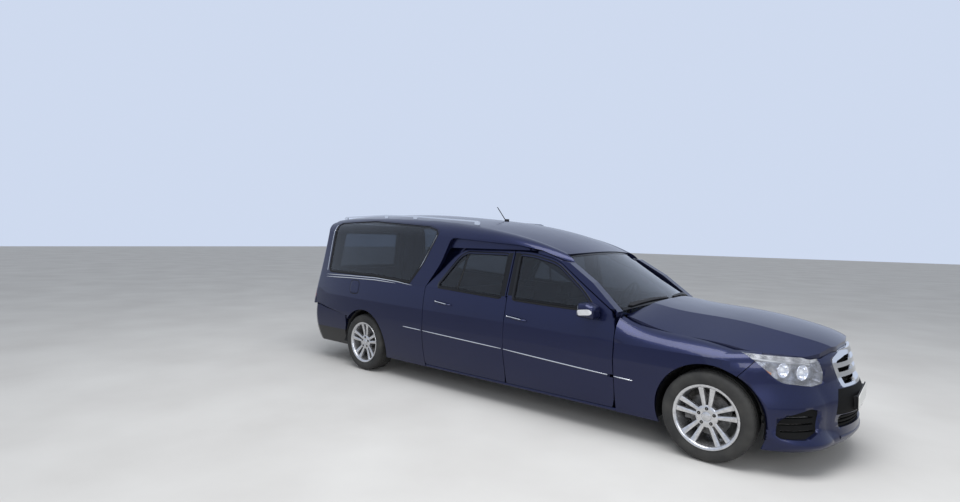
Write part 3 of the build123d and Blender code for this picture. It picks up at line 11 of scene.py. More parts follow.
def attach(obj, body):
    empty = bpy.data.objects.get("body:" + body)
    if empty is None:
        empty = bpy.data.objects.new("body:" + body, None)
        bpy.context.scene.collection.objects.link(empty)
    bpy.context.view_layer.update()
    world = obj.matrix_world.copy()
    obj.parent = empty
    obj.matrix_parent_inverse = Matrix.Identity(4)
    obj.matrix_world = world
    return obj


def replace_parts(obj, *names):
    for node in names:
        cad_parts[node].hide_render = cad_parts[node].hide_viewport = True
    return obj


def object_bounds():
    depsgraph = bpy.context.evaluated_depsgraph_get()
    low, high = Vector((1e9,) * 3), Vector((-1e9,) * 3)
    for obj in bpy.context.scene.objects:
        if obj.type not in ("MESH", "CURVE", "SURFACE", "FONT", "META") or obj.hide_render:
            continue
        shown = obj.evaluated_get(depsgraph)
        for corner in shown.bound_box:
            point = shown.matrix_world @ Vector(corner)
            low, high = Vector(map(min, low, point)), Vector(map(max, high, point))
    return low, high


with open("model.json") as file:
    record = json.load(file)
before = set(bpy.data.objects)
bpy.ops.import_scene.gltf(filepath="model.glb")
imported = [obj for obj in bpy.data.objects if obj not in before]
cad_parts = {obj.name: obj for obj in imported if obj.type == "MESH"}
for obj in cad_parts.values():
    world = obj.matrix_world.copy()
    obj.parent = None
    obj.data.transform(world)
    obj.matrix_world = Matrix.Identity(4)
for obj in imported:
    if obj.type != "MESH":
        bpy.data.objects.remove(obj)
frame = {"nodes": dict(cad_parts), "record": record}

CAD_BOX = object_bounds()
NODES = frame["nodes"]
SIDES = (("right", -1), ("left", 1))
MATERIALS = {}

# Camera, in the row frame
CAMERA_PLACE = (3.363, -4.885, 1.576)
CAMERA_YAW = 2.2679
CAMERA_PITCH = -0.0245
CAMERA_ROLL = 0.0193
CAMERA_FOCAL_PX = 541.7
PICTURE_WIDTH_PX = 960

# Main places, as in the part
FRONT_AXLE = 2.150
REAR_AXLE = -1.730
AXLE_Z = 0.326
TRACK_HALF = 0.790

# How far out a ray towards the side starts: outside the car, or between the mirror and its door
OUTSIDE = 1.4
BEHIND_MIRROR = 0.902
# Where a ray along the car starts
AHEAD = 3.2
BEHIND = -3.4
FORE = Vector((1, 0, 0))

# Outlines seen from the side: x, z, radius of the corner
FRONT_WINDOW = [
    (1.245, 1.003, 0.014), (1.110, 1.140, 0.8), (0.820, 1.352, 0.38),
    (0.550, 1.408, 0.8), (0.408, 1.417, 0.016), (0.422, 1.025, 0.016),
]
REAR_WINDOW = [
    (0.268, 1.027, 0.016), (0.254, 1.417, 0.016), (-0.250, 1.417, 0.12),
    (-0.340, 1.372, 0.2), (-0.555, 1.070, 0.02),
]
BAY_WINDOW = [
    (-0.980, 1.072, 0.02), (-0.810, 1.280, 0.6), (-0.618, 1.640, 0.06), (-0.810, 1.690, 0.2),
    (-1.773, 1.752, 0.9), (-2.456, 1.728, 0.07), (-2.514, 1.116, 0.06), (-1.597, 1.110, 0.9),
]


def add_camera():
    yaw, pitch, roll = CAMERA_YAW, CAMERA_PITCH, CAMERA_ROLL
    ahead = Vector((math.cos(pitch) * math.cos(yaw), math.cos(pitch) * math.sin(yaw), math.sin(pitch)))
    level = Vector((math.sin(yaw), -math.cos(yaw), 0))
    upright = level.cross(ahead)
    right = math.cos(roll) * level + math.sin(roll) * upright
    up = math.cos(roll) * upright - math.sin(roll) * level
    data = bpy.data.cameras.new("camera")
    data.sensor_width = 36.0
    data.lens = CAMERA_FOCAL_PX / PICTURE_WIDTH_PX * data.sensor_width
    data.clip_end = 200
    camera = bpy.data.objects.new("camera", data)
    camera.matrix_world = Matrix.Translation(CAMERA_PLACE) @ Matrix((right, up, -ahead)).transposed().to_4x4()
    bpy.context.scene.collection.objects.link(camera)
    bpy.context.scene.camera = camera


# Materials


def shader(name, color, roughness, metallic=0.0, sockets=()):
    """A material with the values that are the same all over, set on its shader's own sockets."""
    material = bpy.data.materials.new(name)
    material.use_nodes = True
    values = {"Base Color": (*color, 1), "Roughness": roughness, "Metallic": metallic, **dict(sockets)}
    for socket, value in values.items():
        shader_input(material, socket).default_value = value
    return material


def shader_input(material, name):
    return material.node_tree.nodes["Principled BSDF"].inputs[name]


def add_node(owner, kind, **values):
    """A node in a material or world, with values for its inputs and its settings."""
    made = owner.node_tree.nodes.new(kind)
    for name, value in values.items():
        if name in made.inputs:
            made.inputs[name].default_value = value
        else:
            setattr(made, name, value)
    return made


def link(owner, output, target):
    owner.node_tree.links.new(output, target)


def noise(material, scale, detail=3.0, stretch=None):
    """Noise in object coordinates, so that it stays with the piece. Returns its value socket."""
    place = add_node(material, "ShaderNodeTexCoord").outputs["Object"]
    if stretch:
        mapping = add_node(material, "ShaderNodeMapping", Scale=stretch)
        link(material, place, mapping.inputs["Vector"])
        place = mapping.outputs["Vector"]
    made = add_node(material, "ShaderNodeTexNoise", Scale=scale, Detail=detail)
    link(material, place, made.inputs["Vector"])
    return made.outputs["Fac"]


def height(material, low, high):
    """0 to 1 as the height over the ground goes from low to high."""
    place = add_node(material, "ShaderNodeTexCoord").outputs["Object"]
    parts = add_node(material, "ShaderNodeSeparateXYZ")
    spread = add_node(material, "ShaderNodeMapRange", **{"From Min": low, "From Max": high})
    link(material, place, parts.inputs[0])
    link(material, parts.outputs["Z"], spread.inputs["Value"])
    return spread.outputs["Result"]


def tint(material, factor, dark, light, low=0.3, high=0.7):
    """Base colour between two colours as factor goes from low to high."""
    ramp = add_node(material, "ShaderNodeValToRGB")
    first, last = ramp.color_ramp.elements
    first.position, last.position = low, high
    first.color, last.color = (*dark, 1), (*light, 1)
    link(material, factor, ramp.inputs["Fac"])
    link(material, ramp.outputs["Color"], shader_input(material, "Base Color"))


def dull(material, factor, low, high):
    """Roughness between two values."""
    spread = add_node(material, "ShaderNodeMapRange", **{"To Min": low, "To Max": high})
    link(material, factor, spread.inputs["Value"])
    link(material, spread.outputs["Result"], shader_input(material, "Roughness"))


def bump(material, factor, depth):
    made = add_node(material, "ShaderNodeBump", Distance=depth, Strength=1.0)
    link(material, factor, made.inputs["Height"])
    link(material, made.outputs["Normal"], shader_input(material, "Normal"))


# Name in the model, then: shader's name, colour, roughness, metallic, further sockets, and what varies,
# each as (function, its noise's scale, detail and stretch, its two colours, two values or depth)
FINISHES = {
    "body_paint": ("paint", (0.008, 0.011, 0.04), 0.3, 0.75, {"Coat Weight": 0.45, "Coat Roughness": 0.012}, [
        (tint, (900, 1), (0.005, 0.007, 0.026), (0.015, 0.021, 0.085)), (dull, (3, 2), 0.28, 0.38)]),
    "clear_glass": ("glass", (0.20, 0.23, 0.27), 0.0, 0.0, {"Transmission Weight": 1.0, "IOR": 1.45}, [
        (tint, (2,), (0.18, 0.21, 0.25), (0.22, 0.25, 0.29))]),
    "lamp_lens": ("lens", (0.9, 0.93, 1.0), 0.03, 0.0, {"Alpha": 0.14, "IOR": 1.5}, [
        (dull, (20,), 0.01, 0.05)]),
    "red_lens": ("red_lens", (0.30, 0.008, 0.012), 0.07, 0.0, {"Coat Weight": 0.6}, [
        (tint, (240, 1, (0.05, 0.05, 1)), (0.22, 0.004, 0.008), (0.42, 0.02, 0.025))]),
    "bright_trim": ("chrome", (0.75, 0.76, 0.78), 0.1, 1.0, {}, [
        (dull, (14,), 0.05, 0.16)]),
    "black_plastic": ("black_plastic", (0.010, 0.010, 0.011), 0.5, 0.0, {"Specular IOR Level": 0.25}, [
        (bump, (1800, 2), 0.0002)]),
    "body_steel": ("body_steel", (0.03, 0.032, 0.04), 0.5, 0.0, {}, [
        (tint, (12,), (0.018, 0.019, 0.024), (0.04, 0.042, 0.05))]),
    "seat_cloth": ("seat_cloth", (0.03, 0.03, 0.033), 0.85, 0.0, {"Sheen Weight": 0.3}, [
        (tint, (700,), (0.022, 0.022, 0.025), (0.075, 0.075, 0.082)), (bump, (900,), 0.0006)]),
    "deck_board": ("deck_board", (0.12, 0.1, 0.08), 0.5, 0.0, {}, [
        (tint, (20, 6, (0.15, 3, 3)), (0.07, 0.05, 0.035), (0.17, 0.13, 0.09))]),
    "cast_metal": ("cast_metal", (0.18, 0.18, 0.18), 0.55, 0.8, {}, [
        (tint, (60, 4), (0.1, 0.095, 0.09), (0.24, 0.235, 0.23))]),
    "exhaust_steel": ("exhaust_steel", (0.25, 0.22, 0.2), 0.5, 0.9, {}, [
        (tint, (25, 4), (0.14, 0.11, 0.09), (0.32, 0.3, 0.28))]),
    "tyre_rubber": ("tyre_rubber", (0.018, 0.018, 0.017), 0.8, 0.0, {}, [
        (tint, (8, 5), (0.016, 0.016, 0.016), (0.045, 0.044, 0.041)), (bump, (500, 2), 0.0004)]),
    "alloy": ("alloy", (0.6, 0.6, 0.61), 0.3, 0.85, {}, [
        (tint, (40, 4), (0.50, 0.50, 0.51), (0.68, 0.68, 0.69)), (dull, (30, 3), 0.22, 0.36)]),
    # Finishes that the model's own slots don't have
    "gloss_black": ("gloss_black", (0.004, 0.004, 0.005), 0.12, 0.0, {"Specular IOR Level": 0.3}, [
        (dull, (6,), 0.10, 0.18)]),
    "seal_rubber": ("seal_rubber", (0.010, 0.010, 0.010), 0.6, 0.0, {"Specular IOR Level": 0.2}, [
        (tint, (90,), (0.007, 0.007, 0.007), (0.016, 0.016, 0.016))]),
    "plate_white": ("plate_white", (0.78, 0.78, 0.76), 0.35, 0.0, {}, [
        (tint, (30, 4), (0.72, 0.72, 0.70), (0.82, 0.82, 0.80))]),
    "amber_lens": ("amber_lens", (0.55, 0.16, 0.02), 0.12, 0.0, {"Coat Weight": 0.7}, [
        (tint, (300, 1, (1, 1, 0.1)), (0.42, 0.10, 0.01), (0.66, 0.22, 0.04))]),
    "reflector": ("reflector", (0.80, 0.82, 0.88), 0.12, 0.9, {}, [
        (dull, (60, 2, (1, 1, 0.2)), 0.08, 0.3)]),
    "satin_silver": ("satin_silver", (0.72, 0.73, 0.76), 0.35, 0.25, {}, [
        (tint, (40, 2), (0.66, 0.67, 0.70), (0.78, 0.79, 0.82))]),
    "lamp_housing": ("lamp_housing", (0.30, 0.31, 0.34), 0.22, 0.8, {}, [
        (tint, (22, 2), (0.09, 0.093, 0.11), (0.78, 0.80, 0.86))]),
    "bulb_glass": ("bulb_glass", (0.92, 0.95, 1.0), 0.03, 0.0, {"Coat Weight": 1.0}, [
        (dull, (40,), 0.02, 0.08)]),
    "mesh_black": ("mesh_black", (0.006, 0.006, 0.006), 0.7, 0.0, {"Specular IOR Level": 0.1}, [
        (tint, (300,), (0.004, 0.004, 0.004), (0.012, 0.012, 0.012))]),
}


def make_materials():
    for finish, (name, color, roughness, metallic, sockets, changes) in FINISHES.items():
        made = MATERIALS[finish] = shader(name, color, roughness, metallic, sockets)
        for change, pattern, *values in changes:
            change(made, noise(made, *pattern), *values)


def dress_frame():
    """Gives each CAD node its slot's finish. The rear bumper is black low down and painted above."""
    for part in frame["record"]["subparts"]:
        node = NODES[part["node"]]
        node.data.materials.clear()
        node.data.materials.append(MATERIALS[part["material_slot"]])
    bumper = MATERIALS["body_paint"].copy()
    bumper.name = "paint_rear_bumper"
    tint(bumper, height(bumper, 0.2, 0.7), (0.010, 0.010, 0.011), (0.010, 0.014, 0.056), 0.44, 0.46)
    NODES["rear_bumper"].data.materials[0] = bumper
    NODES["intake_grilles"].data.materials[0] = MATERIALS["mesh_black"]


# Mesh helpers


def to_mesh(name, points, faces, kinds=None):
    mesh = bpy.data.meshes.new(name)
    mesh.from_pydata([tuple(p) for p in points], [], faces)
    if kinds:
        mesh.polygons.foreach_set("material_index", kinds)
    mesh.update()
    return mesh


def piece(name, body, mesh, *finishes, sharp=None, smooth=True):
    """A piece that rides a body of the model. Its edges over `sharp` degrees stay sharp."""
    made = bpy.data.objects.new(name, mesh)
    for finish in finishes:
        mesh.materials.append(MATERIALS[finish])
    for face in mesh.polygons:
        face.use_smooth = smooth
    if sharp:
        mesh.set_sharp_from_angle(angle=math.radians(sharp))
    bpy.context.scene.collection.objects.link(made)
    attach(made, body)
    return made


def grid_faces(rows, columns, closed_rows=False, closed_columns=False):
    """Faces of a grid of points, row by row."""
    faces = []
    for i in range(rows if closed_rows else rows - 1):
        for j in range(columns if closed_columns else columns - 1):
            a, b = i * columns + j, i * columns + (j + 1) % columns
            c, d = (i + 1) % rows * columns + (j + 1) % columns, (i + 1) % rows * columns + j
            faces.append((a, b, c, d))
    return faces


def joined(parts):
    """Points, faces and material numbers of one mesh out of parts with points, faces and a number each."""
    points, faces, kinds = [], [], []
    for new_points, new_faces, kind in parts:
        start = len(points)
        points += new_points
        faces += [tuple(start + k for k in face) for face in new_faces]
        kinds += [kind] * len(new_faces)
    return points, faces, kinds


@functools.cache
def surface(*names):
    """Search tree over the faces of CAD nodes."""
    points, faces = [], []
    for name in names:
        mesh = NODES[name].data
        start = len(points)
        points += [v.co.copy() for v in mesh.vertices]
        faces += [[start + k for k in p.vertices] for p in mesh.polygons]
    return BVHTree.FromPolygons(points, faces)


def cast(tree, start, direction):
    """Point and outward normal where a ray meets a surface, or None."""
    point, normal, _, _ = tree.ray_cast(Vector(start), Vector(direction))
    if point is None:
        return None
    return point, (-normal if normal.dot(Vector(direction)) > 0 else normal)


def from_side(tree, x, z, sign, start=OUTSIDE):
    """Where the side of the car is at x and z, seen from that far out."""
    return cast(tree, (x, sign * start, z), (0, -sign, 0))


def circle(steps):
    """Angles of evenly spaced points round a circle."""
    return [2 * math.pi * step / steps for step in range(steps)]


def rounded_outline(corners, steps=7):
    """Points along a closed outline whose corners (u, v, radius) are rounded."""
    points = []
    for k, (u, v, radius) in enumerate(corners):
        here = Vector((u, v))
        back = Vector(corners[k - 1][:2]) - here
        on = Vector(corners[(k + 1) % len(corners)][:2]) - here
        half = max(back.angle(on) / 2, 0.05)
        reach = min(radius / math.tan(half), back.length * 0.48, on.length * 0.48)
        first, last = here + back.normalized() * reach, here + on.normalized() * reach
        for step in range(steps + 1):
            t = step / steps
            points.append(first * (1 - t) ** 2 + here * 2 * t * (1 - t) + last * t**2)
    return points


def even_points(points, spacing, closed=True):
    """Points at even distances along a line."""
    ends = [*points, points[0]] if closed else list(points)
    lengths = [0.0]
    for a, b in zip(ends, ends[1:]):
        lengths.append(lengths[-1] + (b - a).length)
    count = max(2, round(lengths[-1] / spacing))
    made, k = [], 0
    for step in range(count if closed else count + 1):
        wanted = lengths[-1] * step / count
        while k < len(lengths) - 2 and lengths[k + 1] < wanted:
            k += 1
        span = lengths[k + 1] - lengths[k]
        made.append(ends[k].lerp(ends[k + 1], (wanted - lengths[k]) / span if span else 0))
    return made


def moved_out(points, distance):
    """A closed outline in the plane moved outwards."""
    area = sum(a.x * b.y - b.x * a.y for a, b in zip(points, [*points[1:], points[0]]))
    sign = 1 if area > 0 else -1
    made = []
    for k, point in enumerate(points):
        along = (points[(k + 1) % len(points)] - points[k - 1]).normalized()
        made.append(point + Vector((along.y, -along.x)) * sign * distance)
    return made


def strip(name, body, finish, lines, closed=False, sharp=None):
    """A strip of faces through lines of 3-D points with as many points each."""
    points = [p for line in lines for p in line]
    mesh = to_mesh(name, points, grid_faces(len(lines), len(lines[0]), False, closed))
    return piece(name, body, mesh, finish, sharp=sharp)


def window_band(name, body, finish, tree, outline, sign, widths, drop=0.012, start=OUTSIDE):
    """Flat band round a window on the surface beside it, with a lip that reaches down to the glass."""
    rise, bevel, lip, widest_step = 0.0012, 0.0015, 0.004, 0.03
    base = even_points(rounded_outline(outline), 0.014)
    outer, inner = widths
    plans = [moved_out(base, width) for width in (outer, outer - bevel, inner, inner - lip)]
    anchor = moved_out(base, max(inner, lip))
    lines = [[] for _ in plans]
    for k in range(len(base)):
        near = from_side(tree, anchor[k].x, anchor[k].y, sign, start)
        for row, (plan, up) in enumerate(zip(plans, (0.0, rise, rise, -drop))):
            hit = from_side(tree, plan[k].x, plan[k].y, sign, start) if row < 2 else near
            if hit is None or abs(hit[0].y - near[0].y) > widest_step:
                hit = near
            lines[row].append(Vector((plan[k].x, hit[0].y + sign * up, plan[k].y)))
    return strip(name, body, finish, lines, True, sharp=50)


# Section of a raised line: share of its width, share of its rise
LINE_SECTION = [(-0.5, -0.4), (-0.5, 0.45), (-0.3, 0.9), (0.0, 1.0), (0.3, 0.9), (0.5, 0.45), (0.5, -0.4)]


def raised_line(name, body, finish, tree, path, sign, width, rise, spacing=0.03, ends=0.0, start=OUTSIDE):
    """A slim raised moulding that follows a path given in x and z on the side of the car."""
    spots = even_points([Vector(p) for p in path], spacing, False)
    lines = [[] for _ in LINE_SECTION]
    last = len(spots) - 1
    for k, spot in enumerate(spots):
        hit = from_side(tree, spot.x, spot.y, sign, start)
        if hit is None:
            continue
        along = (spots[min(k + 1, last)] - spots[max(k - 1, 0)]).normalized()
        across = Vector((-along.y, 0, along.x))
        share = 1.0 - ends * abs(k / last * 2 - 1) ** 6
        for line, (u, up) in zip(lines, LINE_SECTION):
            line.append(hit[0] + across * u * width * share + hit[1] * up * rise * share)
    made = strip(name, body, finish, lines)
    close_ends(made.data, len(lines), len(lines[0]))
    made.data.set_sharp_from_angle(angle=math.radians(60))
    return made


def close_ends(mesh, rows, columns):
    """Puts a face on both ends of a strip."""
    made = bmesh.new()
    made.from_mesh(mesh)
    made.verts.ensure_lookup_table()
    for column in (0, columns - 1):
        made.faces.new([made.verts[row * columns + column] for row in range(rows)])
    bmesh.ops.recalc_face_normals(made, faces=made.faces)
    made.to_mesh(mesh)
    made.free()


def patch(name, body, finish, spots, thickness, columns, bulge=0.0):
    """A panel of finite thickness through a grid of (point, normal), row by row, with a rounded edge."""
    rows = len(spots) // columns
    edge_share, foot_depth = 0.35, 0.002
    points = []
    for k, (point, normal) in enumerate(spots):
        i, j = divmod(k, columns)
        edge = i in (0, rows - 1) or j in (0, columns - 1)
        crown = bulge * math.sin(math.pi * i / (rows - 1)) * math.sin(math.pi * j / (columns - 1))
        points.append(point + normal * (thickness * (edge_share if edge else 1.0) + crown))
    faces = grid_faces(rows, columns)
    rim = [*range(columns), *[i * columns + columns - 1 for i in range(1, rows)]]
    rim += [*range(rows * columns - 2, (rows - 1) * columns - 1, -1)]
    rim += [i * columns for i in range(rows - 2, 0, -1)]
    start = len(points)
    points += [spots[k][0] - spots[k][1] * foot_depth for k in rim]
    for k, here in enumerate(rim):
        on = (k + 1) % len(rim)
        faces.append((rim[on], here, start + k, start + on))
    return piece(name, body, to_mesh(name, points, faces), finish, sharp=50)


def rounded_square(u, v, power):
    """A point of the unit square moved on to a square with round corners."""
    far = max(abs(u), abs(v))
    if far < 1e-9:
        return 0.0, 0.0
    angle = math.atan2(v, u)
    reach = (abs(math.cos(angle)) ** power + abs(math.sin(angle)) ** power) ** (-1 / power)
    square = 1 / max(abs(math.cos(angle)), abs(math.sin(angle)))
    blend = far**3
    scale = 1 - blend + blend * reach / square
    return u * scale, v * scale


def square_grid(columns, rows, power):
    """Points (u, v) of a square from -1 to 1 with round corners, row by row."""
    return [
        rounded_square(2 * j / (columns - 1) - 1, 2 * i / (rows - 1) - 1, power)
        for i in range(rows) for j in range(columns)
    ]


def side_patch(name, body, finish, tree, middle, size, sign, thickness, power, tilt=0.0, count=13, bulge=0.0):
    """A patch on the side of the car, turned by tilt."""
    spots = []
    for u, v in square_grid(count, count, power):
        u, v = u * size[0] / 2, v * size[1] / 2
        x = middle[0] + u * math.cos(tilt) - v * math.sin(tilt)
        z = middle[1] + u * math.sin(tilt) + v * math.cos(tilt)
        spots.append(from_side(tree, x, z, sign))
    return patch(name, body, finish, spots, thickness, count, bulge)


def end_spots(tree, start, middle, half, columns, rows, power):
    """Where rays along the car from x = start meet a surface, over a grid about middle (y, z)."""
    ahead = -FORE if start == AHEAD else FORE
    (y, z), (half_y, half_z) = middle, half
    grid = square_grid(columns, rows, power)
    return [cast(tree, (start, y + u * half_y, z + v * half_z), ahead) for u, v in grid]


def cross_strip(name, body, finish, tree, start, half_y, z, count, section, sharp=None):
    """A strip across the car on the surface that rays from x = start meet. Section: height, how far out."""
    ahead = -FORE if start == AHEAD else FORE
    lines = [[] for _ in section]
    for k in range(count + 1):
        hit = cast(tree, (start, half_y * (2 * k / count - 1), z), ahead)
        for line, (dz, out) in zip(lines, section):
            line.append(hit[0] - ahead * out + Vector((0, 0, dz)))
    return strip(name, body, finish, lines, sharp=sharp)


def tube(name, body, finish, path, radii, around=12, flat=1.0, up=(0, 0, 1)):
    """A round bar along a path, with a radius at each point and closed ends."""
    points = []
    path = [Vector(p) for p in path]
    for k, (here, radius) in enumerate(zip(path, radii)):
        along = (path[min(k + 1, len(path) - 1)] - path[max(k - 1, 0)]).normalized()
        side = along.cross(Vector(up)).normalized()
        over = side.cross(along).normalized()
        for angle in circle(around):
            points.append(here + side * math.cos(angle) * radius * flat + over * math.sin(angle) * radius)
    faces = grid_faces(len(path), around, False, True)
    faces += [tuple(range(around)), tuple(range(len(points) - 1, len(points) - around - 1, -1))]
    return piece(name, body, to_mesh(name, points, faces), finish)


def border_band(name, body, node, facing, width):
    """Printed dark edge on a pane, from the edge of the CAD pane's outer face inwards."""
    lift = 0.0015
    mesh = NODES[node].data
    keep = [p for p in mesh.polygons if facing(p)]
    edges = {}
    for p in keep:
        spots = [tuple(round(c, 5) for c in mesh.vertices[k].co) for k in p.vertices]
        edges.update({(a, b): True for a, b in zip(spots, spots[1:] + spots[:1]) if a != b})
    following = {a: b for a, b in edges if (b, a) not in edges}
    tree = BVHTree.FromPolygons([v.co.copy() for v in mesh.vertices], [list(p.vertices) for p in keep])
    loops = []
    while following:
        loop, here = [], next(iter(following))
        while here in following:
            loop.append(Vector(here))
            here = following.pop(here)
        loops.append(loop)
    loop = even_points(max(loops, key=len), 0.012)
    lines = [[], [], []]
    for k, here in enumerate(loop):
        along = (loop[(k + 1) % len(loop)] - loop[k - 1]).normalized()
        _, normal, _, _ = tree.find_nearest(here)
        inward = normal.cross(along).normalized()
        for line, depth in zip(lines, (0.0, width * 0.5, width)):
            near, face_normal, _, _ = tree.find_nearest(here + inward * depth)
            line.append(near + face_normal * lift)
    return strip(name, body, "gloss_black", lines, True)


# Wheels

# Right half of a tyre: radius, distance from its middle
TYRE_HALF = [
    (0.2166, 0.096), (0.2220, 0.1030), (0.2320, 0.1065), (0.2350, 0.1100), (0.2380, 0.1085), (0.2480, 0.1130),
    (0.2620, 0.1165), (0.2760, 0.1174), (0.2900, 0.1165), (0.3020, 0.1120), (0.3120, 0.1060), (0.3190, 0.0965),
    (0.3225, 0.0860), (0.3240, 0.0720), (0.3175, 0.0700), (0.3175, 0.0620), (0.3250, 0.0600), (0.3256, 0.0310),
    (0.3185, 0.0290), (0.3185, 0.0210), (0.3259, 0.0190), (0.3260, 0.0010),
]
TYRE_STEPS = 240
# Rim from its outer lip inwards: radius, distance outwards from the tyre's middle
RIM_BARREL = [
    (0.2160, 0.0960), (0.2170, 0.1040), (0.2325, 0.1085), (0.2335, 0.1105), (0.2325, 0.1120), (0.2250, 0.1118),
    (0.2180, 0.1090), (0.2125, 0.1030), (0.2085, 0.0950), (0.2060, 0.0700), (0.1990, 0.0300), (0.1960, -0.0300),
    (0.2040, -0.1000), (0.2320, -0.1080), (0.2335, -0.1120), (0.2160, -0.1060), (0.2160, 0.0960),
]
# A spoke along its length: radius, its middle and half width from the pair's line, depth of face and back
SPOKE = [
    (0.050, 0.0165, 0.0130, 0.0275, 0.060), (0.080, 0.0210, 0.0145, 0.0300, 0.064),
    (0.110, 0.0260, 0.0160, 0.0290, 0.062), (0.140, 0.0310, 0.0175, 0.0260, 0.056),
    (0.170, 0.0360, 0.0190, 0.0215, 0.048), (0.195, 0.0400, 0.0205, 0.0165, 0.040),
    (0.2085, 0.0420, 0.0220, 0.0130, 0.036),
]
# Across a spoke: share of its half width, share of its depth
SPOKE_SECTION = [
    (-1.0, 1.0), (-1.0, 0.35), (-0.88, 0.08), (-0.55, 0.0), (0.0, -0.02),
    (0.55, 0.0), (0.88, 0.08), (1.0, 0.35), (1.0, 1.0),
]
SPOKE_PAIRS = 5
# Radius and depth behind the rim's outer face
OUTER_FACE = 0.112
HUB_FACE = [
    (0.034, 0.0275), (0.040, 0.0262), (0.060, 0.0270), (0.074, 0.0292), (0.079, 0.0330), (0.080, 0.0400),
    (0.080, 0.066),
]
CAP_FACE = [(0.0, 0.0215), (0.016, 0.0220), (0.028, 0.0240), (0.0325, 0.0262), (0.0335, 0.0300)]
# The bolt pockets are drawn near-black, as painted shade in their recesses.
BOLT_POCKET = [(0.0122, 0.0272), (0.0118, 0.0246), (0.0112, 0.0250), (0.0, 0.0252)]
BOLT_HEAD = [(0.0, 0.0232), (0.0052, 0.0232), (0.0060, 0.0238), (0.0061, 0.0262)]
BOLT_CIRCLE_R = 0.056
# Brake disc and its hat: radius, distance outwards from the tyre's middle
DISC = [
    (0.078, 0.000), (0.150, 0.000), (0.150, -0.008), (0.146, -0.009), (0.146, -0.017), (0.150, -0.018),
    (0.150, -0.026), (0.078, -0.026),
]
DISC_HAT = [(0.078, 0.046), (0.082, 0.040), (0.084, 0.000), (0.084, -0.026)]
# Cross grooves of the tread: from and to which distance from the middle, depth, step of every fifth
TREAD_GROOVES = ((0.078, 0.1, 0.0045, 0), (0.030, 0.061, 0.0035, 3))
TREAD_R = 0.3200


def spun(profile, steps, wave=None):
    """Points and faces of a profile (radius, y) spun about the Y axis, outwards towards -Y."""
    points = []
    for step, angle in enumerate(circle(steps)):
        for radius, out in profile:
            r = radius - (wave(step, radius, out) if wave else 0)
            points.append(Vector((r * math.cos(angle), -out, r * math.sin(angle))))
    return points, grid_faces(steps, len(profile), True, False)


def spun_face(profile, steps):
    """The same for a profile of radius and depth behind the rim's outer face."""
    return spun([(r, OUTER_FACE - depth) for r, depth in profile], steps)


def tread(step, radius, out):
    """Depth of the cross grooves in the shoulders and the blocks."""
    for low, high, depth, turn in TREAD_GROOVES:
        if radius >= TREAD_R and low < abs(out) < high and step % 5 == turn:
            return depth
    return 0.0


def wheel_mesh():
    """Points, faces and material numbers of a right-hand rim with its disc, bolts and cap, with painted shade
    in the bolt pockets.
    """
    # Material numbers: the dark one is near-black painted shade inside the bolt pockets.
    alloy, iron, dark = range(3)
    parts = [(*spun(RIM_BARREL, 120), alloy)]
    turns = [math.radians(360 / SPOKE_PAIRS * turn + 90) for turn in range(SPOKE_PAIRS)]
    for turn in turns:
        along = Vector((math.cos(turn), 0, math.sin(turn)))
        across = Vector((-math.sin(turn), 0, math.cos(turn)))
        for side in (-1, 1):
            points = []
            for radius, middle, half, face_depth, back_depth in SPOKE:
                for u, w in SPOKE_SECTION:
                    out = OUTER_FACE - (face_depth + w * (back_depth - face_depth))
                    points.append(along * radius + across * (side * middle + u * half) + Vector((0, -out, 0)))
            parts.append((points, grid_faces(len(SPOKE), len(SPOKE_SECTION), False, True), alloy))
    parts += [(*spun_face(HUB_FACE, 60), alloy), (*spun_face(CAP_FACE, 40), alloy)]
    parts += [(*spun(DISC, 72), iron), (*spun(DISC_HAT, 48), iron)]
    for turn in turns:
        middle = Vector((BOLT_CIRCLE_R * math.cos(turn), 0, BOLT_CIRCLE_R * math.sin(turn)))
        # Each bolt pocket is near-black as painted shade in its recess, with the bolt head standing in it.
        for profile, steps, kind in ((BOLT_POCKET, 20, dark), (BOLT_HEAD, 6, iron)):
            points, faces = spun_face(profile, steps)
            parts.append(([p + middle for p in points], faces, kind))
    return joined(parts)


def build_wheels():
    rim_points, rim_faces, kinds = wheel_mesh()
    whole = TYRE_HALF + [(r, -out) for r, out in reversed(TYRE_HALF)]
    tyre_points, tyre_faces = spun(whole, TYRE_STEPS, tread)
    for axle, x in (("front", FRONT_AXLE), ("rear", REAR_AXLE)):
        for side, sign in SIDES:
            body = f"{side}_{axle}_wheel"
            place = Matrix.Translation((x, sign * TRACK_HALF, AXLE_Z)) @ Matrix.Diagonal((-sign, -sign, 1, 1))
            name = f"rim_{axle}_{side}"
            mesh = to_mesh(name, [place @ p for p in rim_points], rim_faces, kinds)
            # mesh_black on the rim is the painted shade of the bolt pockets.
            rim = piece(name, body, mesh, "alloy", "cast_metal", "mesh_black", sharp=35)
            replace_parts(rim, f"{axle}_rim_{side}")
            name = f"tyre_{axle}_{side}"
            mesh = to_mesh(name, [place @ p for p in tyre_points], tyre_faces)
            tyre = piece(name, body, mesh, "tyre_rubber", sharp=40)
            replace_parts(tyre, f"{axle}_tyre_{side}")
            add_arch_liner(axle, side, sign, x)


# Arch liners: radius, first and last angle, and a section of half width and how far outside the arch,
# with an inner wall and, at the rear, a flange
LINERS = {
    "front": (0.374, -14, 194, [
        (0.868, 0.0), (0.80, 0.0), (0.70, 0.0), (0.60, 0.0), (0.500, 0.0), (0.498, -0.085)]),
    "rear": (0.378, -6, 186, [
        (0.845, 0.085), (0.868, 0.0), (0.80, 0.0), (0.70, 0.0), (0.60, 0.0), (0.575, 0.0), (0.574, -0.13)]),
}


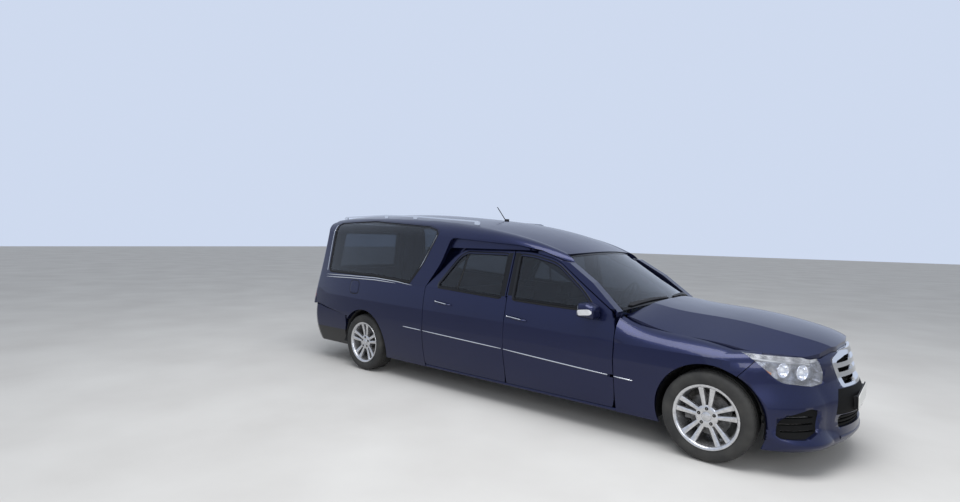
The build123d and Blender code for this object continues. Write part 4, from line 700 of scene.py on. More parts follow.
def add_arch_liner(axle, side, sign, x):
    """Black liner inside a wheel arch, with shallow ribs."""
    radius, first, last, section = LINERS[axle]
    rib_depth, steps = 0.004, 60
    lines = [[] for _ in section]
    for step in range(steps + 1):
        angle = math.radians(first + (last - first) * step / steps)
        for line, (y, out) in zip(lines, section):
            ribbed = step % 6 in (0, 1) and 0.55 < y < 0.85 and not out
            r = radius + out - (rib_depth if ribbed else 0)
            line.append(Vector((x + r * math.cos(angle), sign * y, AXLE_Z + r * math.sin(angle))))
    strip(f"arch_liner_{axle}_{side}", "car_body", "black_plastic", lines)


# Sides of the body

FRONT_DOOR = "{side}_front_door"
REAR_DOOR = "{side}_rear_door"
# Bright line low on the side: x, z where it bends
SIDE_STRIP = [(-1.040, 0.603), (0.350, 0.554), (1.600, 0.489)]
# Its stretches: name, body, CAD node, from x to x
SIDE_STRETCHES = [
    ("quarter", "car_body", "quarter_panels", -1.020, -0.745),
    ("rear_door", REAR_DOOR, "rear_door_{side}", -0.718, 0.322),
    ("front_door", FRONT_DOOR, "front_door_{side}", 0.346, 1.420),
    ("wing", "car_body", "front_wings", 1.445, 1.600),
]
# Lines on the glass and round it: name, body, finish, CAD node, path in x and z, width, rise, rays' start
SIDE_LINES = [
    ("b_post_cover_rear", REAR_DOOR, "gloss_black", "rear_door_{side}",
     [(0.294, 1.034), (0.292, 1.240), (0.290, 1.436)], 0.048, 0.0010, OUTSIDE),
    ("b_post_cover_front", FRONT_DOOR, "gloss_black", "front_door_{side}",
     [(0.377, 1.048), (0.374, 1.240), (0.370, 1.440)], 0.056, 0.0010, OUTSIDE),
    ("quarter_light_bar", REAR_DOOR, "gloss_black", "rear_door_glass_{side}",
     [(-0.252, 1.404), (-0.266, 1.250), (-0.290, 1.062)], 0.024, 0.008, OUTSIDE),
    ("bay_front_line", "car_body", "bright_trim", "load_bay_glass",
     [(-0.948, 1.092), (-0.905, 1.155), (-0.815, 1.290), (-0.735, 1.430), (-0.668, 1.560), (-0.640, 1.622)],
     0.013, 0.005, OUTSIDE),
    ("bay_rear_line", "car_body", "bright_trim", "coach_roof",
     [(-2.552, 1.130), (-2.532, 1.350), (-2.508, 1.560), (-2.482, 1.700)], 0.008, 0.003, OUTSIDE),
    ("belt_seal_front", FRONT_DOOR, "black_plastic", "front_door_{side}",
     [(1.225, 0.988), (1.000, 0.990), (0.700, 0.998), (0.440, 1.008)], 0.013, 0.004, BEHIND_MIRROR),
    ("belt_seal_rear", REAR_DOOR, "black_plastic", "rear_door_{side}",
     [(0.255, 1.012), (0.000, 1.025), (-0.300, 1.040), (-0.545, 1.053)], 0.013, 0.004, OUTSIDE),
]
# Mouldings under the load bay's glass: their common path, then name, height over it, how many of its points
BAY_PATH = [(-2.560, 1.062), (-2.050, 1.074), (-1.547, 1.078), (-1.200, 1.064), (-0.935, 1.041)]
BAY_MOULDINGS = (("upper", 0.016, 5), ("lower", -0.014, 4))
# Door handles: door, body, front and rear end in x and z
HANDLES = [
    ("front", FRONT_DOOR, (0.363, 0.8650), (0.594, 0.8420)),
    ("rear", REAR_DOOR, (-0.555, 0.9170), (-0.328, 0.8940)),
]


def build_windows():
    for side, sign in SIDES:
        front, rear = FRONT_DOOR.format(side=side), REAR_DOOR.format(side=side)
        window_band(f"window_surround_front_{side}", front, "gloss_black", surface(f"front_door_{side}"),
                    FRONT_WINDOW, sign, (0.022, -0.004), start=BEHIND_MIRROR)
        window_band(f"window_surround_rear_{side}", rear, "gloss_black", surface(f"rear_door_{side}"),
                    REAR_WINDOW, sign, (0.022, -0.004))
        window_band(f"bay_surround_{side}", "car_body", "seal_rubber", surface("coach_roof"),
                    BAY_WINDOW, sign, (0.010, -0.005), 0.006)
        for name, body, node, width in (
            ("bay_print", "car_body", "load_bay_glass", 0.026),
            ("front_pane_print", front, f"front_door_glass_{side}", 0.012),
            ("rear_pane_print", rear, f"rear_door_glass_{side}", 0.012),
        ):
            border_band(f"{name}_{side}", body, node,
                        lambda p, s=sign: p.normal.y * s > 0.3 and p.center.y * s > 0, width)
    border_band("screen_print", "car_body", "windscreen",
                lambda p: p.normal.x > 0.2 and p.normal.z > 0.3, 0.030)
    border_band("tailgate_print", "tailgate", "tailgate_glass", lambda p: p.normal.x < -0.3, 0.045)


def strip_height(x):
    for (x0, z0), (x1, z1) in zip(SIDE_STRIP, SIDE_STRIP[1:]):
        if x <= x1:
            return z0 + (z1 - z0) * (x - x0) / (x1 - x0)


def build_side_details():
    for side, sign in SIDES:
        for name, body, finish, node, path, width, rise, start in SIDE_LINES:
            raised_line(f"{name}_{side}", body.format(side=side), finish, surface(node.format(side=side)),
                        path, sign, width, rise, start=start)
        for name, body, node, x0, x1 in SIDE_STRETCHES:
            path = [(x, strip_height(x)) for x in (x0, (x0 + x1) / 2, x1)]
            raised_line(f"side_strip_{name}_{side}", body.format(side=side), "bright_trim",
                        surface(node.format(side=side)), path, sign, 0.009, 0.0045, ends=0.5)
        for label, rise, count in BAY_MOULDINGS:
            path = [(x, z + rise * (1 - 0.12 * k)) for k, (x, z) in enumerate(BAY_PATH[:count])]
            raised_line(f"bay_moulding_{label}_{side}", "car_body", "bright_trim",
                        surface("quarter_panels", "coach_roof"), path, sign, 0.011, 0.007, 0.04, ends=0.8)
        for door, body, rear_end, front_end in HANDLES:
            tree = surface(f"{door}_door_{side}")
            add_handle(door, side, sign, body.format(side=side), tree, rear_end, front_end)
        add_mirror_details(side, sign, FRONT_DOOR.format(side=side), surface(f"front_door_{side}"))
    add_fuel_flap()


def add_handle(door, side, sign, body, tree, rear_end, front_end):
    """Grab handle with a bright top over a dished cup."""
    steps, stand_off = 14, 0.034
    low, high = Vector(rear_end), Vector(front_end)
    path, radii = [], []
    for k in range(steps + 1):
        spot = low.lerp(high, k / steps)
        out = stand_off * min(1.0, math.sin(math.pi * k / steps) * 2.4)
        path.append(from_side(tree, spot.x, spot.y, sign)[0] + Vector((0, sign * out, 0)))
        radii.append(0.0095 if 0 < k < steps else 0.0070)
    tube(f"handle_{door}_{side}", body, "body_paint", path, radii, 14, 0.8)
    trim = [p + Vector((0, sign * 0.0035, 0.0065)) for p in path[2:-2]]
    tube(f"handle_trim_{door}_{side}", body, "bright_trim", trim, [0.0045] * len(trim), 10, 0.9)
    tilt = math.atan2(high.y - low.y, high.x - low.x)
    side_patch(f"handle_cup_{door}_{side}", body, "body_paint", tree, low.lerp(high, 0.45), (0.105, 0.048),
               sign, 0.0012, 2.2, tilt, 11, -0.0005)


def add_mirror_details(side, sign, body, tree):
    """Bright satin strip round the mirror's front, partly its indicator and widened as a painted highlight for
    the bright reflection on the housing's lower face, and the mirror's glass.
    """
    path = [(1.166, 0.986), (1.200, 0.990), (1.250, 0.996), (1.296, 1.000)]
    # The strip is the indicator widened into a painted highlight of the housing's bright lower face.
    indicator_highlight = raised_line(f"mirror_indicator_highlight_{side}", body, "satin_silver", tree, path, sign,
                            0.046, 0.002, 0.01, ends=0.5)
    proud = 0.0005
    for vertex in indicator_highlight.data.vertices:
        vertex.co.y = max(CAD_BOX[0].y - proud, min(CAD_BOX[1].y + proud, vertex.co.y))
    behind, middle_y, middle_z, half, count = 0.9, 0.972, 1.003, 0.045, 9
    hits = end_spots(tree, behind, (sign * middle_y, middle_z), (sign * half, half), count, count, 4)
    patch(f"mirror_glass_{side}", body, "reflector", [(hit[0], -FORE) for hit in hits], 0.002, count)


def add_fuel_flap():
    middle = (-1.915, 0.962)
    for name, finish, size, lift in (
        ("fuel_flap_gap", "seal_rubber", (0.180, 0.166), 0.0006),
        ("fuel_flap", "body_paint", (0.164, 0.150), 0.0024),
    ):
        side_patch(name, "car_body", finish, surface("quarter_panels"), middle, size, -1, lift, 3.4)


# Headlamps

# Round units of a headlamp: x, y outwards, z, radius, depth
LAMP_UNITS = [(2.690, 0.590, 0.686, 0.050, 0.045), (2.590, 0.690, 0.702, 0.047, 0.042)]
# Bars in a headlamp: name, finish, how far in from the path, its points (y outwards) with their radii
LAMP_BARS = [
    ("brow", "bulb_glass", 0.020, [
        (2.365, 0.800, 0.775, 0.006), (2.450, 0.765, 0.766, 0.008), (2.530, 0.715, 0.757, 0.009),
        (2.610, 0.640, 0.748, 0.009), (2.690, 0.560, 0.738, 0.008), (2.735, 0.500, 0.728, 0.006)]),
    ("marker", "amber_lens", 0.015, [
        (2.330, 0.800, 0.735, 0.008), (2.400, 0.775, 0.715, 0.014), (2.470, 0.740, 0.690, 0.016),
        (2.530, 0.700, 0.662, 0.012)]),
]


def lamp_faces(sign):
    """Outer faces and inner faces of the CAD lamp on that side."""
    ahead = Vector((0.70, sign * 0.70, 0.1)).normalized()
    outer, inner = [], []
    for p in NODES["headlamps"].data.polygons:
        if p.center.y * sign > 0:
            (outer if p.normal.dot(ahead) > 0.5 else inner).append(p)
    return outer, inner


def faces_piece(name, finish, mesh, polygons, flip=False):
    """A piece out of some faces of a mesh."""
    used, points, faces = {}, [], []
    for p in polygons:
        ids = []
        for k in p.vertices:
            key = tuple(round(c, 5) for c in mesh.vertices[k].co)
            if key not in used:
                used[key] = len(points)
                points.append(mesh.vertices[k].co.copy())
            ids.append(used[key])
        if len(set(ids)) > 2:
            faces.append(tuple(reversed(ids)) if flip else tuple(ids))
    return piece(name, "car_body", to_mesh(name, points, faces), finish, sharp=40)


def turned(middle, facing, profile, steps):
    """Points and faces of a profile (radius, distance along facing) turned round the line through middle."""
    facing = Vector(facing).normalized()
    side = facing.cross(Vector((0, 0, 1))).normalized()
    over = side.cross(facing)
    points = []
    for r, out in profile:
        for angle in circle(steps):
            spoke = side * math.cos(angle) * r + over * math.sin(angle) * r
            points.append(Vector(middle) + spoke + facing * out)
    return points, grid_faces(len(profile), steps, False, True)


def bowl(middle, facing, radius, depth):
    """Points and faces of a round reflector that opens towards facing."""
    rings = 8
    profile = [(radius * 1.10, 0.004), (radius * 1.06, 0.008), (radius, 0.004)]
    profile += [(radius * (1 - k / rings), -depth * (1 - (1 - k / rings) ** 2)) for k in range(1, rings)]
    return turned(middle, facing, profile, 32)


def dome(middle, facing, radius, rise):
    """Points and faces of a bulb that stands towards facing."""
    rings = 7
    angles = [math.pi / 2 * k / rings for k in range(rings + 1)]
    profile = [(radius * max(math.cos(angle), 0.02), rise * math.sin(angle)) for angle in angles]
    return turned(middle, facing, profile, 28)


def build_headlamps():
    mesh = NODES["headlamps"].data
    for side, sign in SIDES:
        outer, inner = lamp_faces(sign)
        lens = faces_piece(f"headlamp_lens_{side}", "lamp_lens", mesh, outer)
        if side == "right":
            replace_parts(lens, "headlamps")
        faces_piece(f"headlamp_housing_{side}", "lamp_housing", mesh, inner, True)
        facing = (0.86, sign * 0.5, 0.02)
        parts = []
        for x, y, z, radius, depth in LAMP_UNITS:
            parts.append((*bowl((x, sign * y, z), facing, radius, depth), 0))
            parts.append((*dome((x - 0.02, sign * (y - 0.01), z), facing, radius * 0.5, 0.03), 1))
        name = f"headlamp_units_{side}"
        piece(name, "car_body", to_mesh(name, *joined(parts)), "reflector", "bulb_glass")
        for name, finish, inset, spots in LAMP_BARS:
            path = [Vector((x - inset, sign * (y - inset), z)) for x, y, z, _ in spots]
            tube(f"headlamp_{name}_{side}", "car_body", finish, path, [spot[3] for spot in spots], 10)


# Front

# Grille mesh: half width, bottom and top of its upright bars, x in the middle, bow, half thickness of a bar
GRILLE_HALF_Y = 0.36
GRILLE_Z = (0.590, 0.790)
GRILLE_X = 2.875
GRILLE_BOW = 0.55
GRILLE_BAR_HALF = 0.0012
# Front plate: height of its middle, half width, half height
FRONT_PLATE = (0.461, 0.26, 0.052)
REAR_PLATE = (0.880, 0.26, 0.055)
HOLDER_EDGE = 0.008
PLATE_CORNER_POWER = 14
PLATE_RECESS = ((2.984, -0.272, 0.402), (3.05, 0.272, 0.520))


def grille_spot(y, dx=0.0):
    """x of the bowed grille at y."""
    return GRILLE_X + dx - GRILLE_BOW * y * y


def build_front():
    add_grille_mesh()
    nose = surface("front_bumper", "grille")
    add_nose_painted_reflection(nose)
    cut_plate_recess()
    add_front_plate(nose)
    section = ((-0.012, 0.0), (-0.009, 0.004), (0.009, 0.004), (0.012, 0.0))
    cross_strip("chin_lip", "car_body", "body_paint", nose, AHEAD, 0.40, 0.236, 32, section)


def add_grille_mesh():
    """Upright and level bars behind the grille, and a dark sheet behind them."""
    half, parts = GRILLE_BAR_HALF, []
    uprights = [GRILLE_HALF_Y * (k / 24 - 1) for k in range(49)]
    for y in uprights:
        section = ((0, -half), (0.004, 0), (0, half))
        points = [Vector((grille_spot(y, dx), y + dy, z)) for dx, dy in section for z in reversed(GRILLE_Z)]
        parts.append((points, grid_faces(len(section), 2), 0))
    for k in range(17):
        z = 0.594 + 0.196 * k / 16
        points = [Vector((grille_spot(y, -0.001), y, z + dz)) for y in uprights[::2] for dz in (half, -half)]
        parts.append((points, grid_faces(len(uprights[::2]), 2), 0))
    mesh = to_mesh("grille_mesh", *joined(parts))
    piece("grille_mesh", "car_body", mesh, "mesh_black", smooth=False)
    backing = [[Vector((grille_spot(y, -0.013), y, z)) for y in uprights] for z in (0.580, 0.80)]
    strip("grille_backing", "car_body", "mesh_black", backing)


def add_nose_painted_reflection(nose):
    """Black panel on the nose between the grille and the lower intake: a painted dark reflection that stands in
    for the dark look of the painted bumper there.
    """
    rows, columns = 13, 33
    spots = []
    for i in range(rows):
        rise = i / (rows - 1)
        half_y = 0.43 - 0.05 * rise**2
        for j in range(columns):
            y = half_y * (2 * j / (columns - 1) - 1)
            spots.append(cast(nose, (AHEAD, y, 0.396 + 0.172 * rise), -FORE))
    made = patch("nose_painted_reflection", "car_body", "mesh_black", spots, 0.0012, columns)
    for vertex in made.data.vertices:
        vertex.co.x = min(vertex.co.x, CAD_BOX[1].x)


def box_points(low, high):
    (x0, y0, z0), (x1, y1, z1) = low, high
    return [(x, y, z) for x in (x0, x1) for y in (y0, y1) for z in (z0, z1)]


def cut_plate_recess():
    """Lets the front plate into the bow of the nose, so that it stands no farther out than the nose does."""
    faces = [(0, 1, 3, 2), (4, 6, 7, 5), (0, 4, 5, 1), (2, 3, 7, 6), (0, 2, 6, 4), (1, 5, 7, 3)]
    cutter = bpy.data.objects.new("plate_recess", to_mesh("plate_recess", box_points(*PLATE_RECESS), faces))
    bpy.context.scene.collection.objects.link(cutter)
    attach(cutter, "car_body")
    cutter.hide_render = cutter.hide_viewport = True
    # The painted dark reflection on the nose is let in round the plate as well.
    for target in (NODES["front_bumper"], bpy.data.objects["nose_painted_reflection"]):
        recess = target.modifiers.new("recess", "BOOLEAN")
        recess.operation = "DIFFERENCE"
        recess.object = cutter


def add_front_plate(nose):
    """Blank number plate on its holder and bracket, with its face no farther out than the nose."""
    middle_z, half_y, half_z = FRONT_PLATE
    hits = [cast(nose, (AHEAD, y, middle_z + dz), -FORE) for y in (-0.2, 0.0, 0.2) for dz in (-0.03, 0.03)]
    x = min(max(hit[0].x for hit in hits if hit) + 0.003, CAD_BOX[1].x - 0.0112)
    for name, finish, edge, out in (
        ("front_plate_holder", "black_plastic", HOLDER_EDGE, 0.0), ("front_plate", "plate_white", 0.0, 0.007),
    ):
        spots = [
            (Vector((x + out, u * (half_y + edge), middle_z + v * (half_z + edge))), FORE)
            for u, v in square_grid(21, 11, PLATE_CORNER_POWER)
        ]
        patch(name, "car_body", finish, spots, 0.004, 21)
    corners = ((-1, -1), (1, -1), (1, 1), (-1, 1))
    half_y, half_z = half_y - 0.02, half_z - 0.01
    points = [Vector((at, u * half_y, middle_z + v * half_z)) for at in (x - 0.05, x) for u, v in corners]
    faces = [*grid_faces(2, 4, False, True), (4, 5, 6, 7)]
    mesh = to_mesh("front_plate_bracket", points, faces)
    piece("front_plate_bracket", "car_body", mesh, "black_plastic", sharp=30)


# Rear


def build_rear():
    tailgate = surface("tailgate")
    add_rear_plate(tailgate)
    section = ((-0.016, 0.0), (-0.013, 0.008), (0.0, 0.011), (0.013, 0.008), (0.016, 0.0))
    cross_strip("tailgate_handle", "tailgate", "bright_trim", tailgate, BEHIND, 0.36, 0.985, 40, section, 50)
    for side, sign in SIDES:
        for label, z, finish in (("reverse", 0.812, "bulb_glass"), ("turn", 0.908, "amber_lens")):
            middle, half = (sign * 0.705, z), (-sign * 0.038, 0.016)
            spots = end_spots(surface("tail_lamps"), BEHIND, middle, half, 9, 7, 6)
            patch(f"tail_lamp_{label}_{side}", "car_body", finish, spots, 0.002, 9)


def add_rear_plate(tailgate):
    """Blank number plate on its holder, on the slope of the tailgate."""
    middle_z, half_y, half_z = REAR_PLATE
    normal = Vector((-1, 0, 0.12)).normalized()
    for name, edge, lift, finish in (
        ("rear_plate_holder", HOLDER_EDGE, 0.004, "black_plastic"), ("rear_plate", 0.0, 0.008, "plate_white"),
    ):
        half = (half_y + edge, half_z + edge)
        hits = end_spots(tailgate, BEHIND, (0, middle_z), half, 21, 9, PLATE_CORNER_POWER)
        patch(name, "tailgate", finish, [(hit[0] - FORE * lift, normal) for hit in hits], 0.003, 21)


# Panels that close the body's corners

# Columns of a corner panel: how far ahead of the post's edge, how far in
PANEL_STEPS = [
    (0.020, 0.0), (-0.020, 0.001), (-0.060, 0.001), (-0.120, 0.002), (-0.180, 0.003), (-0.240, 0.004),
]
# Section of a sill cover: how far in from the sill, height
SILL_SECTION = [
    (0.012, 0.2255), (0.003, 0.2245), (0.001, 0.2200), (0.001, 0.2060), (0.006, 0.2005), (0.020, 0.2000),
    (0.110, 0.2000),
]
# Beside the foot of the front post: the wing's edge, and columns from the bonnet's side to it
WING_EDGE = 0.829
COWL_SIDE = (0.769, 0.781, 0.793, 0.805, 0.817, WING_EDGE)


def build_closing_panels():
    for side, sign in SIDES:
        add_corner_panel(side, sign)
        add_sill_cover(side, sign)
        add_cowl_corner(side, sign)
        add_cowl_side(side, sign)


def thicken(made, thickness):
    made.modifiers.new("thick", "SOLIDIFY").thickness = thickness


def add_corner_panel(side, sign):
    """Rear corner of the recess over the doors, along the slanted edge of the rear door's frame."""
    rows = []
    for k in range(13):
        z = 1.030 + 0.475 * k / 12
        edge = -0.350 - 0.3785 * (z - 1.468) / (1.048 - 1.468)
        hit = from_side(surface("side_frames"), edge + 0.020, min(z, 1.455), sign)
        if hit:
            y = hit[0].y - sign * 0.0015
            rows.append([Vector((edge + dx, y - sign * inward, z)) for dx, inward in PANEL_STEPS])
    thicken(strip(f"corner_panel_{side}", "car_body", "body_paint", rows), 0.002)


def add_sill_cover(side, sign):
    """Cover under the doors, from the front arch to the rear one."""
    ahead = from_side(surface("front_wings"), 1.500, 0.206, sign)
    behind = from_side(surface("quarter_panels"), -0.800, 0.206, sign)
    lines = [[] for _ in SILL_SECTION]
    for k in range(25):
        share = k / 24
        y = abs(behind[0].y) + (abs(ahead[0].y) - abs(behind[0].y)) * share
        for line, (inward, z) in zip(lines, SILL_SECTION):
            line.append(Vector((-0.740 + 2.182 * share, sign * (y - inward), z)))
    strip(f"sill_cover_{side}", "car_body", "body_paint", lines, sharp=40)


def add_cowl_corner(side, sign):
    """Slope from the wing's rear end down to the scuttle."""
    lines = [[] for _ in range(7)]
    for k in range(9):
        x = 1.378 + 0.068 * k / 8
        top = 1.001 - 0.46 * (x - 1.390)
        for row, line in enumerate(lines):
            share = row / 6
            fall = share * share * (3 - 2 * share)
            y = sign * (0.766 - 0.150 * share)
            line.append(Vector((x + 0.075 * share, y, top + (0.972 - top) * fall)))
    strip(f"cowl_corner_{side}", "car_body", "body_paint", lines)


def add_cowl_side(side, sign):
    """Narrow slope between the bonnet's rear corner and the wing."""
    rows = []
    for k in range(15):
        x = 1.448 + 0.166 * k / 14
        edge = cast(surface("front_wings"), (x, sign * WING_EDGE, 1.6), (0, 0, -1))
        if edge:
            top = edge[0].z + 0.0008
            rows.append([Vector((x, sign * y, top + 0.42 * (WING_EDGE - y))) for y in COWL_SIDE])
    thicken(strip(f"cowl_side_{side}", "car_body", "body_paint", rows), 0.0015)


# Inside


def rounded_block(size, bevel):
    """A box with round edges about the origin, as a mesh."""
    made = bmesh.new()
    bmesh.ops.create_cube(made, size=1.0)
    bmesh.ops.scale(made, vec=Vector(size), verts=made.verts)
    bmesh.ops.bevel(made, geom=made.edges[:], offset=bevel, segments=4, profile=0.5, affect="EDGES")
    mesh = bpy.data.meshes.new("block")
    made.to_mesh(mesh)
    made.free()
    return mesh


def puffed(name, mesh, voxel, cap):
    """Remeshes a cushion, swells it with cloth pressure, and caps how far each point moves."""
    worker = bpy.data.objects.new(name, mesh)
    bpy.context.scene.collection.objects.link(worker)
    modifier = worker.modifiers.new("even", "REMESH")
    modifier.mode = "VOXEL"
    modifier.voxel_size = voxel
    graph = bpy.context.evaluated_depsgraph_get()
    even = bpy.data.meshes.new_from_object(worker.evaluated_get(graph))
    worker.modifiers.clear()
    worker.data = even
    rest = [v.co.copy() for v in even.vertices]
    cloth = worker.modifiers.new("swell", "CLOTH")
    cloth.settings.quality = 4
    cloth.settings.use_pressure = True
    cloth.settings.uniform_pressure_force = 4.0
    cloth.settings.effector_weights.gravity = 0
    scene = bpy.context.scene
    for number in range(1, 21):
        scene.frame_set(number)
    graph = bpy.context.evaluated_depsgraph_get()
    swollen = bpy.data.meshes.new_from_object(worker.evaluated_get(graph))
    worker.modifiers.clear()
    scene.frame_set(1)
    for vertex, start, end in zip(even.vertices, rest, swollen.vertices):
        move = end.co - start
        if move.length > cap:
            move *= cap / move.length
        vertex.co = start + move
    bpy.data.meshes.remove(swollen)
    bpy.data.objects.remove(worker)
    return even


def sewn(mesh, across, along, top):
    """Presses sewn channels in from z = top up: lines at each y of across and each x of along."""
    width, depth = 0.010, 0.007
    for vertex in mesh.vertices:
        x, y, z = vertex.co
        if z >= top:
            away = [y - line for line in across] + [x - line for line in along]
            vertex.co.z = z - depth * max(math.exp(-((gap / width) ** 2)) for gap in away)
    mesh.update()
    return mesh


def seat_piece(name, mesh, place, tilt):
    moved = mesh.copy()
    moved.transform(Matrix.Translation(place) @ Matrix.Rotation(math.radians(tilt), 4, "Y"))
    made = piece(name, "car_body", moved, "seat_cloth")
    smooth = made.modifiers.new("smooth", "SUBSURF")
    smooth.levels = smooth.render_levels = 1
    return made


SEAT_Y = 0.375
FRONT_SEAT_X = 0.880
BENCH_X = 0.120
# Profiles in x behind a seat's front, and z
SEAT_BASE = [(-0.03, 0.36), (-0.03, 0.30), (-0.05, 0.288), (-0.55, 0.288), (-0.60, 0.30), (-0.60, 0.37)]
SEAT_SHELL = [(-0.635, 0.38), (-0.685, 0.60), (-0.745, 0.90)]
SEAT_POST = [(-0.640, 0.925), (-0.655, 0.960), (-0.668, 1.000)]
BENCH_BASE = [(-0.03, 0.37), (-0.04, 0.30), (-0.60, 0.30), (-0.66, 0.60)]


def side_profile(profile, x, ys):
    """A profile in x and z repeated at each y."""
    return [[Vector((x + dx, y, z)) for dx, z in profile] for y in ys]


def build_front_seats():
    cushion = sewn(puffed("cushion", rounded_block((0.46, 0.44, 0.12), 0.045), 0.008, 0.010),
                   (-0.13, 0.13), (-0.10, 0.06), 0.03)
    back = sewn(puffed("back", rounded_block((0.42, 0.43, 0.085), 0.036), 0.008, 0.010),
                (-0.13, 0.13), (-0.08, 0.08), 0.02)
    rest = puffed("rest", rounded_block((0.125, 0.25, 0.065), 0.028), 0.007, 0.006)
    for side, sign in SIDES:
        y = sign * SEAT_Y
        made = seat_piece(f"seat_cushion_{side}", cushion, (FRONT_SEAT_X - 0.265, y, 0.432), -3)
        if side == "right":
            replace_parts(made, "front_seats")
        seat_piece(f"seat_back_{side}", back, (FRONT_SEAT_X - 0.580, y, 0.735), 107)
        seat_piece(f"seat_rest_{side}", rest, (FRONT_SEAT_X - 0.672, y, 1.030), 105)
        for label, dy in (("a", -0.06), ("b", 0.06)):
            path = [(FRONT_SEAT_X + dx, y + dy, z) for dx, z in SEAT_POST]
            tube(f"seat_post_{side}_{label}", "car_body", "bright_trim", path, [0.006] * 3, 10, up=(1, 0, 0))
        for name, profile, ys in (
            ("base", SEAT_BASE, (-0.205, -0.215, 0.215, 0.205)),
            ("shell", SEAT_SHELL, (-0.200, -0.15, 0.15, 0.200)),
        ):
            lines = side_profile(profile, FRONT_SEAT_X, [y + dy for dy in ys])
            strip(f"seat_{name}_{side}", "car_body", "black_plastic", lines)


def build_bench():
    cushion = sewn(puffed("bench", rounded_block((0.45, 1.14, 0.12), 0.045), 0.010, 0.010),
                   (-0.28, 0.0, 0.28), (-0.08,), 0.03)
    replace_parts(seat_piece("bench_cushion", cushion, (BENCH_X - 0.260, 0, 0.435), -3), "rear_seat")
    back = sewn(puffed("bench_back", rounded_block((0.44, 1.14, 0.085), 0.036), 0.010, 0.010),
                (-0.28, 0.0, 0.28), (0.0,), 0.02)
    seat_piece("bench_back", back, (BENCH_X - 0.575, 0, 0.745), 107)
    for side, ys in (("right", (-0.58, -0.125)), ("left", (0.125, 0.58))):
        strip(f"bench_base_{side}", "car_body", "black_plastic", side_profile(BENCH_BASE, BENCH_X, ys))


# Steering wheel about its own axis: rim, spokes as reach, half width, half thickness and height,
# a spoke's section, and the pad with its column as radius and height
WHEEL_MIDDLE = Vector((0.960, 0.370, 0.980))
WHEEL_TILT = -65
WHEEL_RIM_R = 0.178
WHEEL_SPOKE = [
    (0.035, 0.026, 0.012, -0.004), (0.075, 0.022, 0.010, -0.006), (0.120, 0.015, 0.006, -0.002),
    (0.175, 0.018, 0.006, 0.0),
]
WHEEL_SPOKE_SECTION = [(-1, -0.5), (-0.7, -1), (0.7, -1), (1, -0.5), (1, 0.5), (0.7, 1), (-0.7, 1), (-1, 0.5)]
WHEEL_PAD = [
    (0.0, 0.022), (0.030, 0.020), (0.048, 0.014), (0.055, 0.004), (0.052, -0.010), (0.024, -0.018),
    (0.024, -0.170), (0.0, -0.172),
]


def build_steering_wheel():
    steps, around, pad_steps = 72, 12, 36
    points = []
    for step, angle in enumerate(circle(steps)):
        gripped = 8 < step % 36 < 14 or 22 < step % 36 < 28
        grip = 0.0134 if gripped else 0.012
        for turn in circle(around):
            r = WHEEL_RIM_R + grip * math.cos(turn)
            points.append(Vector((r * math.cos(angle), r * math.sin(angle), grip * math.sin(turn))))
    parts = [(points, grid_faces(steps, around, True, True), 0)]
    for angle in (0, 180, 270):
        turn = math.radians(angle)
        along = Vector((math.cos(turn), math.sin(turn), 0))
        across = Vector((-along.y, along.x, 0))
        points = [
            along * reach + across * u * half + Vector((0, 0, drop + w * thick))
            for reach, half, thick, drop in WHEEL_SPOKE for u, w in WHEEL_SPOKE_SECTION
        ]
        parts.append((points, grid_faces(len(WHEEL_SPOKE), len(WHEEL_SPOKE_SECTION), False, True), 0))
    points = [Vector((r * math.cos(a), r * math.sin(a), z)) for a in circle(pad_steps) for r, z in WHEEL_PAD]
    parts.append((points, grid_faces(pad_steps, len(WHEEL_PAD), True, False), 0))
    points, faces, _ = joined(parts)
    tilt = Matrix.Rotation(math.radians(WHEEL_TILT), 3, "Y")
    mesh = to_mesh("steering_wheel_rim", [WHEEL_MIDDLE + tilt @ p for p in points], faces)
    made = piece("steering_wheel_rim", "car_body", mesh, "black_plastic", sharp=45)
    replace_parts(made, "steering_wheel")


# Stage


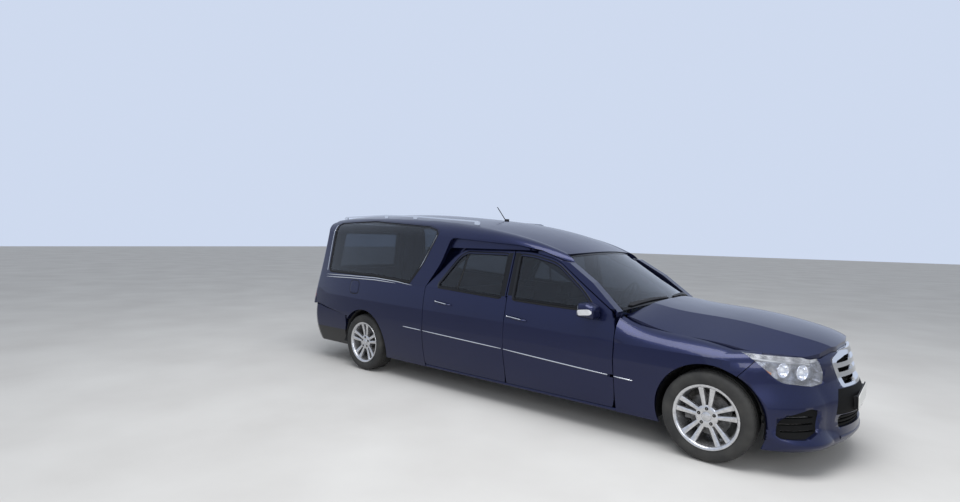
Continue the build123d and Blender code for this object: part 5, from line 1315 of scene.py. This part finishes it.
def add_floor():
    bpy.ops.mesh.primitive_plane_add(size=120)
    floor = bpy.context.object
    floor.name = "floor"
    material = shader("floor", (0.62, 0.61, 0.6), 0.9)
    tint(material, noise(material, 0.8, 8), (0.60, 0.59, 0.575), (0.68, 0.675, 0.66))
    floor.data.materials.append(material)


def add_world():
    """A pale sky to the camera, in reflections and through glass, and a dimmer light on everything else."""
    world = bpy.data.worlds.new("world")
    bpy.context.scene.world = world
    world.use_nodes = True
    world.node_tree.nodes.clear()
    seen = add_node(world, "ShaderNodeBackground", Color=(0.62, 0.70, 0.86, 1), Strength=1.0)
    light = add_node(world, "ShaderNodeBackground", Color=(0.9, 0.94, 1.0, 1), Strength=0.55)
    ray = add_node(world, "ShaderNodeLightPath").outputs
    first = add_node(world, "ShaderNodeMath", operation="MAXIMUM")
    second = add_node(world, "ShaderNodeMath", operation="MAXIMUM")
    mix = add_node(world, "ShaderNodeMixShader")
    out = add_node(world, "ShaderNodeOutputWorld")
    for output, target in (
        (ray["Is Camera Ray"], first.inputs[0]), (ray["Is Glossy Ray"], first.inputs[1]),
        (first.outputs[0], second.inputs[0]), (ray["Is Transmission Ray"], second.inputs[1]),
        (second.outputs[0], mix.inputs["Fac"]), (light.outputs[0], mix.inputs[1]),
        (seen.outputs[0], mix.inputs[2]), (mix.outputs[0], out.inputs["Surface"]),
    ):
        link(world, output, target)


def add_light(name, place, target, size, power):
    data = bpy.data.lights.new(name, "AREA")
    data.shape = "RECTANGLE"
    data.size, data.size_y = size
    data.energy = power
    lamp = bpy.data.objects.new(name, data)
    lamp.location = place
    lamp.rotation_euler = (Vector(target) - Vector(place)).to_track_quat("-Z", "Y").to_euler()
    bpy.context.scene.collection.objects.link(lamp)


def main():
    add_camera()
    bpy.context.scene.view_settings.view_transform = "Standard"
    add_floor()
    add_world()
    add_light("key", (2.0, -2.0, 7.0), (0, 0, 0.8), (7.0, 4.0), 420)
    add_light("fill", (7.0, -7.0, 3.5), (1.0, -0.5, 0.7), (4.0, 3.0), 160)
    make_materials()
    dress_frame()
    build_wheels()
    build_windows()
    build_side_details()
    build_headlamps()
    build_front()
    build_rear()
    build_closing_panels()
    build_front_seats()
    build_bench()
    build_steering_wheel()


main()
